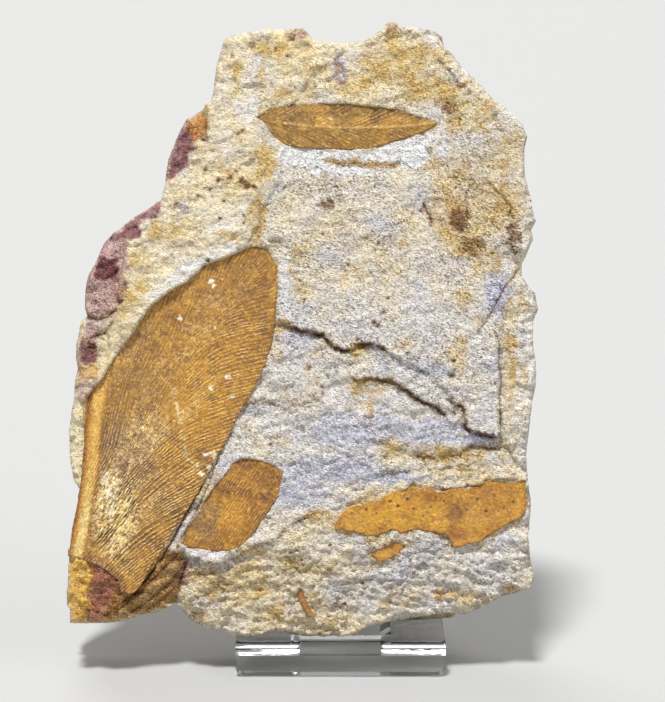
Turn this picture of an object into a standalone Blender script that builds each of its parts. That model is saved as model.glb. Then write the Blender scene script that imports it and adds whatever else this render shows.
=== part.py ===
"""A slab of pale mudstone with fossil Glossopteris leaves, leaning on a one-piece clear easel.

The slab is one broken stone: its leaves are films in its bedding planes. Its outlines are read
off a photograph in pixels and turned into metres on its face. The easel is one bent sheet: a foot
plate, a ledge, two uprights and a tongue, cut from between them, that reaches back to the table.
"""

import math

import bmesh
import bpy
import numpy as np
from mathutils import Vector, geometry, noise

MM = 0.001

# The slab
SLAB_THICKNESS = 25 * MM
LEAN = math.radians(12)
GAP = 0.3 * MM
FACET = 3.2 * MM
BACK_FACET = 7 * MM
EDGE_MARGIN = 0.6
STEP_WIDTH = 0.8 * MM
LEAST_SPACING = 0.64 * MM
STEP_CLEARANCE = 1.6 * MM
RIM_CLEARANCE = 1.1 * MM
RIM_ROUNDING = 4 * MM
ROUGHNESS = 0.5 * MM
ROUGHNESS_SIZE = 9 * MM
BACK_ROUGHNESS = 1.6 * MM
BACK_SEED = 5.0
BACK_EDGE_INSET = 3 * MM
BACK_EDGE_CHAMFER = 3 * MM
SIDE_RINGS = (0.33, 0.66)
SHOULDER_SHARE = 0.33
HEEL = (20 * MM, 37 * MM)
SMALLEST = 1e-7

# The easel
SHEET = 4.5 * MM
STAND_WIDTH = 53 * MM
STAND_OFFSET = 9.4 * MM
LEDGE_HEIGHT = 8.8 * MM
BEND_RADIUS = 3.5 * MM
KNEE_RADIUS = 1.4 * MM
FOOT_CORNER_RADIUS = 2.2 * MM
UPRIGHT_LENGTH = 80 * MM
CROSSBAR_HEIGHT = 9 * MM
WINDOW_WIDTH = 20.6 * MM
WINDOW_BEVEL = 2.6 * MM
WINDOW_START = 6.2 * MM
SAW_CUT = 0.5 * MM
TONGUE_SLOPE = math.radians(20)
TONGUE_ROOT = 9 * MM
TONGUE_SHEET = 4.4 * MM
BEND_STEPS = 6
CORNER_STEPS = 4
CUT_REACH = 3 * MM
TRIM_BLOCK = (60 * MM, 40 * MM, 10 * MM)

# Where the slab's own origin lies in the easel's frame: back from the foot plate, and up
SLAB_BACK = -3.9 * MM
SLAB_UP = 10.9 * MM

# The photograph: its middle, the foot of the slab's middle line, and a pixel's size on the face.
# The face is seen square on from EYE_DISTANCE, so what lies deeper really lies farther out.
PHOTO_MIDDLE = (332.5, 351.0)
SLAB_FOOT = (303.0, 640.0)
PIXEL = 0.25 * MM
EYE_DISTANCE = 550 * MM

# Outlines on the face, in the photograph's pixels
SLAB_OUTLINE = [
    (224, 39), (240, 34), (269, 28), (303, 28), (313, 40), (343, 44), (371, 37), (389, 22),
    (400, 28), (433, 31), (444, 47), (462, 67), (493, 99), (520, 121), (527, 136), (524, 172),
    (536, 221), (533, 240), (520, 266), (526, 284), (538, 310), (533, 345), (536, 383),
    (528, 431), (526, 470), (531, 504), (529, 545), (534, 577), (528, 590), (502, 597),
    (483, 607), (445, 614), (391, 621), (354, 635), (326, 639), (288, 633), (253, 638),
    (224, 632), (190, 620), (176, 603), (161, 611), (124, 621), (70, 623), (66, 600),
    (69, 557), (80, 489), (69, 455), (74, 397), (77, 342), (86, 310), (88, 276), (114, 233),
    (161, 200), (168, 160), (186, 120), (206, 104), (213, 95), (216, 69),
]

BIG_LEAF = [
    (249, 247), (267, 247), (277, 270), (272, 342), (246, 402), (222, 449), (187, 511),
    (135, 592), (104, 612), (66, 600), (80, 489), (85, 405), (114, 358), (144, 314), (187, 281),
]

MID_LEAF = [
    (233, 463), (246, 459), (274, 465), (283, 472), (276, 504), (248, 541), (226, 553),
    (183, 550), (196, 516),
]

LOW_LEAF = [
    (333, 527), (350, 508), (393, 491), (457, 490), (485, 482), (526, 481), (526, 520),
    (480, 542), (461, 548), (437, 530), (380, 534),
]

TOP_LEAF = [
    (260, 118), (287, 105), (350, 104), (412, 115), (436, 124), (389, 144), (345, 150),
    (285, 144),
]

PURPLE_EDGE = [
    (100, 237), (140, 190), (150, 100), (207, 105), (205, 140), (186, 170), (165, 200),
    (125, 237), (128, 275), (118, 320), (90, 345), (60, 345),
]

UPPER_SHEET = [
    (60, 0), (560, 0), (560, 200), (440, 165), (284, 165), (267, 198), (248, 240), (187, 275),
    (140, 310), (100, 375), (60, 400),
]

WHITE_SHEET = [
    (248, 240), (284, 165), (440, 165), (545, 200), (520, 268), (502, 300), (500, 372),
    (450, 372), (403, 364), (382, 347), (344, 350), (323, 333), (277, 318),
]

MIDDLE_SHEET = [
    (277, 318), (323, 333), (344, 350), (382, 347), (403, 364), (500, 372), (500, 437),
    (447, 416), (403, 388), (354, 378), (300, 400), (262, 380),
]

LOWER_SHEET = [
    (262, 380), (300, 400), (354, 378), (403, 388), (447, 416), (500, 437), (524, 475),
    (393, 491), (333, 520), (276, 530), (217, 455),
]

# Each bedding plane: its outline and how far it lies behind the frontmost one. The first that
# holds a point sets its depth.
SHEETS = [
    (TOP_LEAF, 0.7 * MM),
    (BIG_LEAF, 1.6 * MM),
    (MID_LEAF, 2.8 * MM),
    (LOW_LEAF, 3.4 * MM),
    (PURPLE_EDGE, 3.6 * MM),
    (UPPER_SHEET, 0.3 * MM),
    (WHITE_SHEET, 0.9 * MM),
    (MIDDLE_SHEET, 1.8 * MM),
    (LOWER_SHEET, 2.6 * MM),
]

# Below and beside the sheets the broken flank falls back, from the first height to the second
FLANK_TOP, FLANK_BOTTOM = 540, 638
FLANK_DEPTH, FLANK_FOOT_DEPTH = 4.2 * MM, 7.5 * MM
RIM_DEPTH = 2.6 * MM


def on_face(pixels):
    """Photograph pixels as (right, up) in metres from the foot of the slab's middle line."""
    pixels = np.asarray(pixels, float)
    return np.stack(
        [(pixels[:, 0] - SLAB_FOOT[0]) * PIXEL, (SLAB_FOOT[1] - pixels[:, 1]) * PIXEL], axis=1
    )


def resampled(loop, spacing):
    """The closed outline with its corners kept and its long edges divided evenly."""
    points = []
    for start, end in zip(loop, np.roll(loop, -1, axis=0)):
        parts = max(1, round(np.linalg.norm(end - start) / spacing))
        points += [start + (end - start) * i / parts for i in range(parts)]
    return np.array(points)


def inside(loop, points):
    """Which points the closed outline holds, by counting the edges to their right."""
    held = np.zeros(len(points), bool)
    x, y = points[:, 0], points[:, 1]
    for (x0, y0), (x1, y1) in zip(loop, np.roll(loop, -1, axis=0)):
        if y0 != y1:
            crosses = (y0 > y) != (y1 > y)
            held ^= crosses & (x < x0 + (y - y0) * (x1 - x0) / (y1 - y0))
    return held


def distance_to(loop, points):
    """Each point's distance to the closed outline."""
    nearest = np.full(len(points), np.inf)
    for start, end in zip(loop, np.roll(loop, -1, axis=0)):
        along = end - start
        share = np.clip((points - start) @ along / max(along @ along, SMALLEST**2), 0, 1)
        nearest = np.minimum(nearest, np.linalg.norm(points - start - share[:, None] * along, axis=1))
    return nearest


def grid_inside(loop, spacing):
    """A staggered grid of points that lie well inside the closed outline."""
    low, high = loop.min(axis=0), loop.max(axis=0)
    rows = np.arange(low[1], high[1], spacing * math.sqrt(3) / 2)
    points = np.array(
        [
            (x + (i % 2) * spacing / 2, y)
            for i, y in enumerate(rows)
            for x in np.arange(low[0], high[0], spacing)
        ]
    )
    points = points[inside(loop, points)]
    return points[distance_to(loop, points) > EDGE_MARGIN * spacing]


def pulled_in(loop, inset):
    """The closed outline moved inwards by about inset, or outwards if it is negative."""
    ahead = np.roll(loop, -1, axis=0) - np.roll(loop, 1, axis=0)
    inward = np.stack([ahead[:, 1], -ahead[:, 0]], axis=1)
    return loop + inset * inward / np.linalg.norm(inward, axis=1)[:, None]


def kept_apart(points, apart):
    """The points less those that come too close to an earlier one."""
    kept = []
    for point in points:
        if not kept or np.linalg.norm(np.array(kept) - point, axis=1).min() > apart:
            kept.append(point)
    return np.array(kept)


def front_points(outline):
    """Points on the face: two lines along the edge of each sheet, for a crisp step, and a grid."""
    steps = []
    for sheet, _ in SHEETS:
        edge = resampled(on_face(sheet), FACET)
        steps += [pulled_in(edge, STEP_WIDTH / 2), pulled_in(edge, -STEP_WIDTH / 2)]
    steps = np.concatenate(steps)
    steps = steps[inside(outline, steps)]
    steps = kept_apart(steps[distance_to(outline, steps) > RIM_CLEARANCE], LEAST_SPACING)
    grid = grid_inside(outline, FACET)
    clear = [np.linalg.norm(steps - point, axis=1).min() > STEP_CLEARANCE for point in grid]
    return np.concatenate([steps, grid[clear]])


def lumps(points, seed):
    """A gentle unevenness, between about -1 and 1, that is the same on every run."""
    return np.array(
        [noise.noise(Vector((x / ROUGHNESS_SIZE, y / ROUGHNESS_SIZE, seed))) for x, y in points]
    )


def front_depth(points, outline):
    """How far the face lies behind its frontmost plane."""
    fall = (SLAB_FOOT[1] - points[:, 1] / PIXEL - FLANK_TOP) / (FLANK_BOTTOM - FLANK_TOP)
    depth = FLANK_DEPTH + (FLANK_FOOT_DEPTH - FLANK_DEPTH) * np.clip(fall, 0, 1)
    for sheet, level in reversed(SHEETS):
        depth = np.where(inside(on_face(sheet), points), level, depth)
    near_rim = np.clip(1 - distance_to(outline, points) / RIM_ROUNDING, 0, 1)
    return depth + RIM_DEPTH * near_rim**2 + ROUGHNESS * lumps(points, 0.0)


def spread_by_depth(points, depth):
    """Where points seen on the face really lie once they are this far behind it."""
    middle = on_face([PHOTO_MIDDLE])[0]
    return middle + (points - middle) * (1 + depth / EYE_DISTANCE)[:, None]


def above_ledge(points, depth):
    """The points, lifted where they would reach into the ledge that the slab stands on."""
    ledge = LEDGE_HEIGHT + GAP - SLAB_UP
    lowest = (ledge + depth * math.sin(LEAN)) / math.cos(LEAN)
    return np.stack([points[:, 0], np.maximum(points[:, 1], lowest)], axis=1)


def set_down(loop):
    """The back edge with its heel lowered, so that the slab also stands on the right prong."""
    heel = (loop[:, 0] > HEEL[0]) & (loop[:, 0] < HEEL[1]) & (loop[:, 1] < HEEL[1])
    return np.stack([loop[:, 0], np.where(heel, 0.0, loop[:, 1])], axis=1)


def add_ring(mesh, points, depth):
    """Vertices for a ring round the slab, in its own frame: right, back and up."""
    placed = above_ledge(spread_by_depth(points, depth), depth)
    return [mesh.verts.new((x, y, z)) for (x, z), y in zip(placed, depth)]


def fill(mesh, ring, loop, points, depth, facing_front):
    """Triangles across a ring, through the points inside it at the depths given."""
    flat = [Vector(p) for p in np.concatenate([loop, points])]
    edges = [(i, (i + 1) % len(loop)) for i in range(len(loop))]
    found = geometry.delaunay_2d_cdt(flat, edges, [], 1, SMALLEST)
    verts = ring + add_ring(mesh, points, depth)
    source = [origin[0] for origin in found[3]]
    for face in found[2]:
        corners = [verts[source[i]] for i in face]
        mesh.faces.new(corners if facing_front else corners[::-1])


def bridge(mesh, first, second):
    """A band of quads between two rings."""
    count = len(first)
    for i in range(count):
        j = (i + 1) % count
        mesh.faces.new((first[i], first[j], second[j], second[i]))


def material(name, colour, roughness, metallic=0.0, transmission=0.0, ior=1.5):
    """A plain Principled material."""
    made = bpy.data.materials.new(name)
    made.use_nodes = True
    shader = made.node_tree.nodes["Principled BSDF"]
    shader.inputs["Base Color"].default_value = (*colour, 1.0)
    shader.inputs["Roughness"].default_value = roughness
    shader.inputs["Metallic"].default_value = metallic
    shader.inputs["Transmission Weight"].default_value = transmission
    shader.inputs["IOR"].default_value = ior
    return made


def as_object(name, mesh, parent, finish=None):
    """An object from a finished bmesh, linked to the scene."""
    bmesh.ops.recalc_face_normals(mesh, faces=mesh.faces)
    data = bpy.data.meshes.new(name)
    mesh.to_mesh(data)
    mesh.free()
    made = bpy.data.objects.new(name, data)
    bpy.context.scene.collection.objects.link(made)
    made.parent = parent
    if finish:
        data.materials.append(finish)
    return made


def build_slab(parent):
    """The stone: its relief in front, broken edges round it and a flat back."""
    outline = resampled(on_face(SLAB_OUTLINE), FACET)
    back_outline = set_down(pulled_in(outline, BACK_EDGE_INSET))
    rim_depth = front_depth(outline, outline)
    back_depth = np.full(len(outline), SLAB_THICKNESS)
    mesh = bmesh.new()
    rim = add_ring(mesh, outline, rim_depth)
    rings = [rim]
    for share in SIDE_RINGS:
        depth = rim_depth + (back_depth - BACK_EDGE_CHAMFER - rim_depth) * share
        side = outline + ROUGHNESS * lumps(outline, share)[:, None]
        rings.append(add_ring(mesh, side, depth))
    shoulder = outline + (back_outline - outline) * SHOULDER_SHARE
    rings.append(add_ring(mesh, shoulder, back_depth - BACK_EDGE_CHAMFER))
    rings.append(add_ring(mesh, back_outline, back_depth))
    for first, second in zip(rings, rings[1:]):
        bridge(mesh, first, second)
    face = front_points(outline)
    fill(mesh, rim, outline, face, front_depth(face, outline), True)
    back = grid_inside(back_outline, BACK_FACET)
    hollows = BACK_ROUGHNESS * np.abs(lumps(back, BACK_SEED))
    fill(mesh, rings[-1], back_outline, back, SLAB_THICKNESS - hollows, False)
    stone = material("mudstone", (0.72, 0.65, 0.52), 0.9)
    slab = as_object("slab", mesh, parent, stone)
    slab.rotation_euler = (-LEAN, 0, 0)
    slab.location = (0, SLAB_BACK, SLAB_UP)
    return slab


def bent(corners, radius):
    """The path through these (back, up) corners, with each inner corner rounded by an arc."""
    path = [corners[0]]
    for before, corner, after in zip(corners, corners[1:], corners[2:]):
        inward = (before - corner) / np.linalg.norm(before - corner)
        outward = (after - corner) / np.linalg.norm(after - corner)
        half = math.acos(np.clip(inward @ outward, -1, 1)) / 2
        towards_middle = (inward + outward) / np.linalg.norm(inward + outward)
        middle = corner + towards_middle * radius / math.sin(half)
        start = corner + inward * radius / math.tan(half)
        end = corner + outward * radius / math.tan(half)
        first = math.atan2(*(start - middle)[::-1])
        turn = (math.atan2(*(end - middle)[::-1]) - first + math.pi) % (2 * math.pi) - math.pi
        for i in range(BEND_STEPS + 1):
            angle = first + turn * i / BEND_STEPS
            path.append(middle + radius * np.array([math.cos(angle), math.sin(angle)]))
    return path + [corners[-1]]


def outward(start, end):
    """The unit vector on the front or upper side of a stretch of path."""
    ahead = (end - start) / np.linalg.norm(end - start)
    return np.array([-ahead[1], ahead[0]])


def sweep(section, path):
    """A closed solid of one (across, out) section carried along a (back, up) path, with mitres."""
    mesh = bmesh.new()
    sides = [outward(start, end) for start, end in zip(path, path[1:])]
    rings = []
    for point, before, after in zip(path, [sides[0]] + sides, sides + [sides[-1]]):
        out = (before + after) / (1 + before @ after)
        rings.append([mesh.verts.new((x, *(point + n * out))) for x, n in section])
    for first, second in zip(rings, rings[1:]):
        bridge(mesh, first, second)
    mesh.faces.new(rings[0][::-1])
    mesh.faces.new(rings[-1])
    return mesh


def rectangle(width, thickness):
    """A flat strip's section."""
    return [
        (-width / 2, -thickness / 2),
        (width / 2, -thickness / 2),
        (width / 2, thickness / 2),
        (-width / 2, thickness / 2),
    ]


def round_edges(mesh, chosen, radius):
    """Rounds the edges of which both ends pass the test chosen."""
    edges = [e for e in mesh.edges if all(chosen(v.co) for v in e.verts)]
    bmesh.ops.bevel(
        mesh, geom=edges, offset=radius, segments=CORNER_STEPS, profile=0.5, affect="EDGES"
    )


def round_foot(mesh):
    """Rounds the foot plate's two lower corners and the outside of the knee above it."""
    side = STAND_WIDTH / 2 - GAP
    for sign in (-1, 1):
        round_edges(mesh, lambda co: co.z < GAP and co.x * sign > side, FOOT_CORNER_RADIUS)
    round_edges(mesh, lambda co: co.y < GAP and co.z > LEDGE_HEIGHT - GAP, KNEE_RADIUS)


def combine(target, other, operation):
    """A Boolean modifier on target, whose other half is only a guide."""
    other.hide_render = True
    other.display_type = "WIRE"
    modifier = target.modifiers.new(other.name, "BOOLEAN")
    modifier.operation = operation
    modifier.solver = "EXACT"
    modifier.object = other


def upright_line(depth):
    """Where the line this far behind the slab's face starts, at the ledge's own middle height."""
    up = LEDGE_HEIGHT - SHEET / 2
    back = SLAB_BACK + (depth + (up - SLAB_UP) * math.sin(LEAN)) / math.cos(LEAN)
    return np.array([back, up])


def sheet_mesh(foot, knee, heel, rise):
    """The bent sheet before it is cut: foot plate, ledge and back."""
    path = [foot] + bent([knee, heel, heel + rise * UPRIGHT_LENGTH], BEND_RADIUS)
    mesh = sweep(rectangle(STAND_WIDTH, SHEET), path)
    round_foot(mesh)
    return mesh


def window_mesh(start, heel, top):
    """What is cut from ledge and back, wider towards the sheet's front and upper side."""
    half = WINDOW_WIDTH / 2
    wide = half + WINDOW_BEVEL * CUT_REACH / (SHEET / 2)
    section = [
        (-half, -CUT_REACH),
        (half, -CUT_REACH),
        (half, 0),
        (wide, CUT_REACH),
        (-wide, CUT_REACH),
        (-half, 0),
    ]
    return sweep(section, bent([start, heel, top], BEND_RADIUS))


def tongue_mesh(top, rise):
    """The tongue, from inside the crossbar down and back to just below the table."""
    fall = np.array([math.sin(TONGUE_SLOPE), -math.cos(TONGUE_SLOPE)])
    root = top - rise * TONGUE_ROOT
    toe = root + fall * (root[1] + SHEET) / math.cos(TONGUE_SLOPE)
    path = bent([top + rise * SHEET, root, toe], BEND_RADIUS)
    return sweep(rectangle(WINDOW_WIDTH - 2 * SAW_CUT, TONGUE_SHEET), path), toe[0]


def trim_mesh(back):
    """A block whose top is the table, for cutting the tongue's toe flat."""
    mesh = bmesh.new()
    bmesh.ops.create_cube(mesh, size=1.0)
    bmesh.ops.scale(mesh, vec=TRIM_BLOCK, verts=mesh.verts)
    bmesh.ops.translate(mesh, vec=(0, back, -TRIM_BLOCK[2] / 2), verts=mesh.verts)
    return mesh


def build_stand(parent):
    """The easel: one bent sheet, a window cut in it and the tongue from the window bent back."""
    foot = np.array([SHEET / 2, 0.0])
    knee = np.array([SHEET / 2, LEDGE_HEIGHT - SHEET / 2])
    heel = upright_line(SLAB_THICKNESS + GAP + SHEET / 2)
    rise = np.array([math.sin(LEAN), math.cos(LEAN)])
    clear = material("clear_acrylic", (0.95, 0.97, 0.98), 0.05, transmission=1.0, ior=1.49)
    stand = as_object("stand", sheet_mesh(foot, knee, heel, rise), parent, clear)

    window_top = heel + rise * (UPRIGHT_LENGTH - CROSSBAR_HEIGHT)
    window = window_mesh(np.array([WINDOW_START, knee[1]]), heel, window_top)
    combine(stand, as_object("window", window, parent), "DIFFERENCE")
    tongue, toe_back = tongue_mesh(window_top, rise)
    combine(stand, as_object("tongue", tongue, parent), "UNION")
    combine(stand, as_object("below_table", trim_mesh(toe_back), parent), "DIFFERENCE")
    return stand


def centre_on_origin(holder, parts):
    """Moves the holder so that the origin is the middle of the parts' box, at its foot."""
    bpy.context.view_layer.update()
    graph = bpy.context.evaluated_depsgraph_get()
    corners = []
    for part in parts:
        shape = part.evaluated_get(graph)
        corners += [shape.matrix_world @ v.co for v in shape.data.vertices]
    low, high = np.min(corners, axis=0), np.max(corners, axis=0)
    holder.location = (-(low[0] + high[0]) / 2, -(low[1] + high[1]) / 2, -low[2])


def main():
    for old in list(bpy.data.objects):
        bpy.data.objects.remove(old, do_unlink=True)
    holder = bpy.data.objects.new("fossil_on_easel", None)
    bpy.context.scene.collection.objects.link(holder)
    slab = build_slab(holder)
    easel = bpy.data.objects.new("easel", None)
    bpy.context.scene.collection.objects.link(easel)
    easel.parent = holder
    easel.location = (STAND_OFFSET, 0, 0)
    stand = build_stand(easel)
    centre_on_origin(holder, [slab, stand])


main()
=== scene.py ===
"""The looks of a fossil slab with Glossopteris leaves on its clear easel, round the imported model.

Outlines on the slab's face are in pixels of the photograph, x to the right and y down. Depths are
millimetres behind the face's frontmost plane. place() turns both into metres.
"""

import math

import bpy
import numpy as np
from mathutils import Matrix, Vector, geometry, kdtree


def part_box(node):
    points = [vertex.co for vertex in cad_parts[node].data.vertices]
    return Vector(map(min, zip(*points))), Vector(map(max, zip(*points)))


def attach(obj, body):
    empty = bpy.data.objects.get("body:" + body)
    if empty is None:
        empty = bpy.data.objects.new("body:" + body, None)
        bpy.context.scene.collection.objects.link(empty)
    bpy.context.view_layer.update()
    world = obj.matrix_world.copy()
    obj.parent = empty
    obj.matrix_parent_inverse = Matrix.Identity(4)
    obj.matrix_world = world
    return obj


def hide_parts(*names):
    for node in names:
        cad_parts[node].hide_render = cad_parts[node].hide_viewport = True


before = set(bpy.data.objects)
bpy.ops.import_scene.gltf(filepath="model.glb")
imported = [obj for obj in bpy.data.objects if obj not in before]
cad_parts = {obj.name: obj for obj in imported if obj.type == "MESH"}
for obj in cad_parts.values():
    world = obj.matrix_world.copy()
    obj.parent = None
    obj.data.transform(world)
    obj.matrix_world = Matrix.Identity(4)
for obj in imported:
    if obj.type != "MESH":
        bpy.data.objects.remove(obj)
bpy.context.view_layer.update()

MM = 0.001

# How the slab stands, as in the CAD model
LEAN = math.radians(12)
PHOTO_MIDDLE = (332.5, 351.0)
PHOTO_HEIGHT = 702
SLAB_FOOT = (303.0, 640.0)
PER_MM = 4
PIXEL = MM / PER_MM
EYE_DISTANCE = 550 * MM
STAND_OFFSET = 9.4 * MM
SLAB_BACK = -3.9 * MM
SLAB_UP = 10.9 * MM
LEDGE_TOP = 9.1 * MM
THICKNESS = 25.0
BACK_CHAMFER = 3.0
CHAMFER_MIDDLE = THICKNESS - 1.4
BACK_PLANE = THICKNESS - 0.15
BED_THICKNESS = 1.9
HEEL = (383.0, 451.0)
HEEL_FOOT = 648.0

# Spacing of the meshes' points, in pixels
STONE_GRID = 1.95
HIDDEN_GRID = 6.0
LEAF_GRID = 0.95
LEAF_EDGE_STEP = 1.25
RIM_STEP = 2.3
BACK_GRID = 4.6
SIDE_RINGS = 28

# Farther from any outline than its edge can be felt, in pixels
FAR = 1000.0

OUTLINE = [
    (224, 40), (230, 36), (250, 32), (269, 29), (285, 30), (303, 28), (308, 33), (313, 40),
    (327, 41), (343, 44), (364, 41), (374, 36), (381, 29), (389, 22), (396, 23), (400, 28),
    (413, 27), (433, 31), (442, 37), (444, 47), (452, 54), (462, 67), (478, 82), (493, 99),
    (506, 108), (522, 124), (527, 136), (524, 151), (525, 176), (531, 199), (533, 211), (536, 221),
    (531, 230), (533, 240), (522, 264), (522, 276), (527, 284), (535, 293), (538, 310), (533, 322),
    (533, 345), (536, 364), (536, 383), (532, 402), (529, 431), (526, 455), (528, 481), (531, 504),
    (530, 520), (528, 533), (530, 557), (534, 577), (530, 589), (502, 596), (483, 607), (465, 614),
    (445, 613), (428, 616), (409, 618), (391, 621), (369, 626), (354, 635), (326, 638), (311, 637),
    (300, 635), (288, 633), (272, 632), (253, 637), (235, 637), (224, 631), (209, 629), (190, 620),
    (183, 611), (176, 602), (172, 604), (161, 612), (139, 615), (124, 621), (100, 623), (70, 623),
    (70, 609), (67, 605), (67, 596), (69, 557), (72, 529), (78, 505), (80, 489), (74, 481),
    (70, 459), (69, 430), (74, 397), (75, 381), (78, 369), (76, 357), (77, 342), (81, 322),
    (87, 316), (85, 308), (85, 294), (88, 276), (96, 262), (104, 243), (108, 239), (114, 233),
    (135, 217), (161, 200), (165, 184), (168, 160), (178, 135), (186, 120), (202, 111), (206, 102),
    (210, 102), (213, 95), (216, 69),
]

LEAF_BROKEN_EDGE = [
    (249, 247), (238, 252), (226, 258), (217, 260), (206, 265), (195, 274), (187, 281), (171, 290),
    (154, 303), (147, 310), (142, 318), (136, 328), (126, 342), (114, 358), (103, 377), (96, 385),
    (90, 392), (82, 404),
]
BIG_LEAF = LEAF_BROKEN_EDGE + [
    (84, 425), (84, 445), (82, 465), (81, 482), (79, 492), (77, 506), (72, 529), (70, 545),
    (69.5, 555), (75, 556), (88, 562), (98, 565), (108, 572), (118, 580), (121, 592), (130, 594),
    (135, 592), (141, 585), (150, 568), (161, 552), (176, 528), (187, 511), (198, 492), (209, 474),
    (217, 455), (222, 449), (231, 431), (238, 414), (246, 402), (257, 383), (265, 365), (272, 342),
    (276, 316), (277, 286), (277, 267), (273, 258), (268, 249), (258, 246.5),
]
MID_LEAF = [
    (233, 463), (240, 459), (246, 458), (262, 461), (272, 464), (279, 469), (283, 473), (281, 485),
    (278, 495), (270, 510), (262, 520), (255, 531), (247, 541), (238, 548), (228, 551), (215, 551),
    (200, 549), (187, 547), (181, 543), (190, 525), (200, 510), (210, 492), (225, 475),
]
LOW_LEAF = [
    (333, 527), (337, 520), (345, 511), (355, 505), (370, 504), (385, 496), (393, 491), (405, 492),
    (412, 486), (425, 490), (430, 487), (436, 491), (455, 490), (478, 487), (485, 482), (500, 481),
    (510, 483), (520, 481), (525, 482), (525, 514), (510, 523), (495, 532), (480, 541), (460, 547),
    (453, 548), (450, 540), (445, 533), (430, 531), (415, 529), (400, 533), (392, 529), (378, 535),
    (368, 537), (355, 532), (340, 530),
]
LOW_CHIP = [
    (371, 554), (384, 548), (393, 542), (406, 545), (395, 555), (387, 560), (378, 561),
]
TOP_LEAF = [
    (256, 118), (262, 114), (270, 109), (287, 106), (300, 105), (320, 103.5), (345, 103.5),
    (360, 105), (378, 107), (395, 109), (410, 114), (425, 119), (437, 121.5), (437, 124),
    (430, 129), (420, 133), (405, 139), (392, 142), (378, 147), (365, 149), (345, 150),
    (320, 148.5), (300, 147), (283, 144), (272, 136), (267, 127), (262, 120.5),
]
TINY_LEAF = [
    (297, 592), (300, 588), (303, 591), (306, 600), (311, 609), (315, 616), (309, 617), (303, 608),
    (299, 600),
]

# Lines that two outlines share: the crack across the face and the foot of the scarp
FIRST_CRACK = [
    (276, 318), (284, 322), (290, 326), (300, 330), (310, 333), (323, 333), (328, 340), (335, 347),
    (343, 350), (352, 349), (360, 343), (370, 344), (383, 347), (392, 354),
]
SCARP_EDGE = [
    (357, 497), (375, 492), (392, 486), (410, 484), (432, 487), (455, 486), (470, 484), (484, 479),
    (500, 478), (524, 478), (516, 465),
]

# The sheets of rock that the face is split into, and broken areas between them
LOWER_SHEET = [
    (222, 449), (209, 474), (198, 492), (187, 511), (176, 528), (165, 550), (178, 556), (192, 557),
    (205, 561), (222, 562), (240, 555), (254, 545), (276, 540), (283, 530), (300, 519), (330, 508),
    (345, 503), *SCARP_EDGE, (512, 450), (503, 445), (500, 437), (500, 300), (262, 300),
    (240, 400),
]
SCARP_GROUND = [
    (366, 441), (385, 445), (400, 452), (410, 455), (425, 456), (440, 457), (460, 452), (475, 445),
    (485, 447), (500, 448), (512, 452), *SCARP_EDGE[::-1], (352, 488), (380, 478), (400, 471),
    (395, 462), (380, 455),
]
MIDDLE_SHEET = [
    (262, 330), *FIRST_CRACK, (400, 360), (425, 372), (440, 382), (452, 398), (462, 406),
    (466, 420), (470, 430), (480, 434), (499, 437), (490, 440), (470, 436), (447, 416), (435, 406),
    (424, 402), (412, 394), (400, 386), (390, 380), (378, 378), (357, 380), (353, 377), (330, 378),
    (300, 383), (275, 385), (262, 372),
]
PLATEAU = [
    (236, 250), (240, 236), (244, 216), (255, 196), (267, 176), (262, 152), (256, 120), (330, 110),
    (380, 110), (420, 110), (440, 100), (560, 100), (560, 230), (531, 240), (522, 262), (514, 280),
    (507, 300), (500, 315), (499, 350), (500, 437), (480, 434), (470, 430), (462, 424), (466, 420),
    (465, 413), (462, 406), (455, 402), (452, 398), (440, 382), (425, 372), (400, 360),
    *FIRST_CRACK[::-1], (264, 300), (262, 270), (250, 256),
]
UPPER_RIGHT = [
    (345, 30), (560, 30), (560, 230), (520, 215), (490, 180), (440, 160), (437, 124), (425, 119),
    (410, 114), (395, 109), (378, 107), (350, 104), (300, 104), (305, 83), (318, 70), (338, 56),
]
UPPER_LEFT = [
    (200, 0), (400, 0), (400, 28), (360, 42), (345, 50), (338, 56), (318, 70), (305, 83),
    (298, 97), (287, 106), (262, 114), (262, 120.5), (267, 127), (272, 136), (283, 144),
    (280, 156), (279, 178), (267, 198), (256, 218), (249, 240), *LEAF_BROKEN_EDGE, (84, 376),
    (98, 366), (108, 358), (110, 345), (108, 332), (117, 318), (124, 302), (119, 298), (120, 285),
    (124, 270), (126, 255), (127, 238), (140, 228), (155, 212), (160, 198), (170, 183), (186, 170),
    (190, 158), (194, 147), (204, 140), (207, 122), (206, 104), (180, 90),
]
RIGHT_FLANK = [
    (500, 300), (507, 299), (516, 282), (526, 270), (545, 270), (545, 500), (524, 480), (516, 465),
    (512, 450), (503, 445), (500, 437), (490, 400), (490, 320),
]

# Each sheet: outline, depth in mm, and how many pixels its edge takes to fall
SHEETS = [
    (RIGHT_FLANK, 1.5, 6), (LOWER_SHEET, 2.4, 6), (SCARP_GROUND, 2.85, 6), (MIDDLE_SHEET, 1.75, 7),
    (PLATEAU, 0.95, 3), (UPPER_RIGHT, 0.55, 14), (UPPER_LEFT, 0.3, 3),
]

# Below and beside the sheets the broken flank falls back: heights down the photograph and depths
FLANK_HEIGHTS = (470, 540, 638)
FLANK_DEPTHS = (2.7, 2.85, 6.8)

# How far the face is worn back at its rim in mm, and how far in this reaches in pixels
RIM_DEPTH = 1.9
RIM_REACH = 9.0

# The leaf films in mm: their depths, how thick they are and how far they are sunk in the stone
LEAF_LEVELS = {"big": 1.6, "mid": 2.75, "low": 2.55, "chip": 3.25, "top": 0.75, "tiny": 5.25}
FILM_THICKNESS = 0.9
FILM_SINK = 0.6

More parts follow.
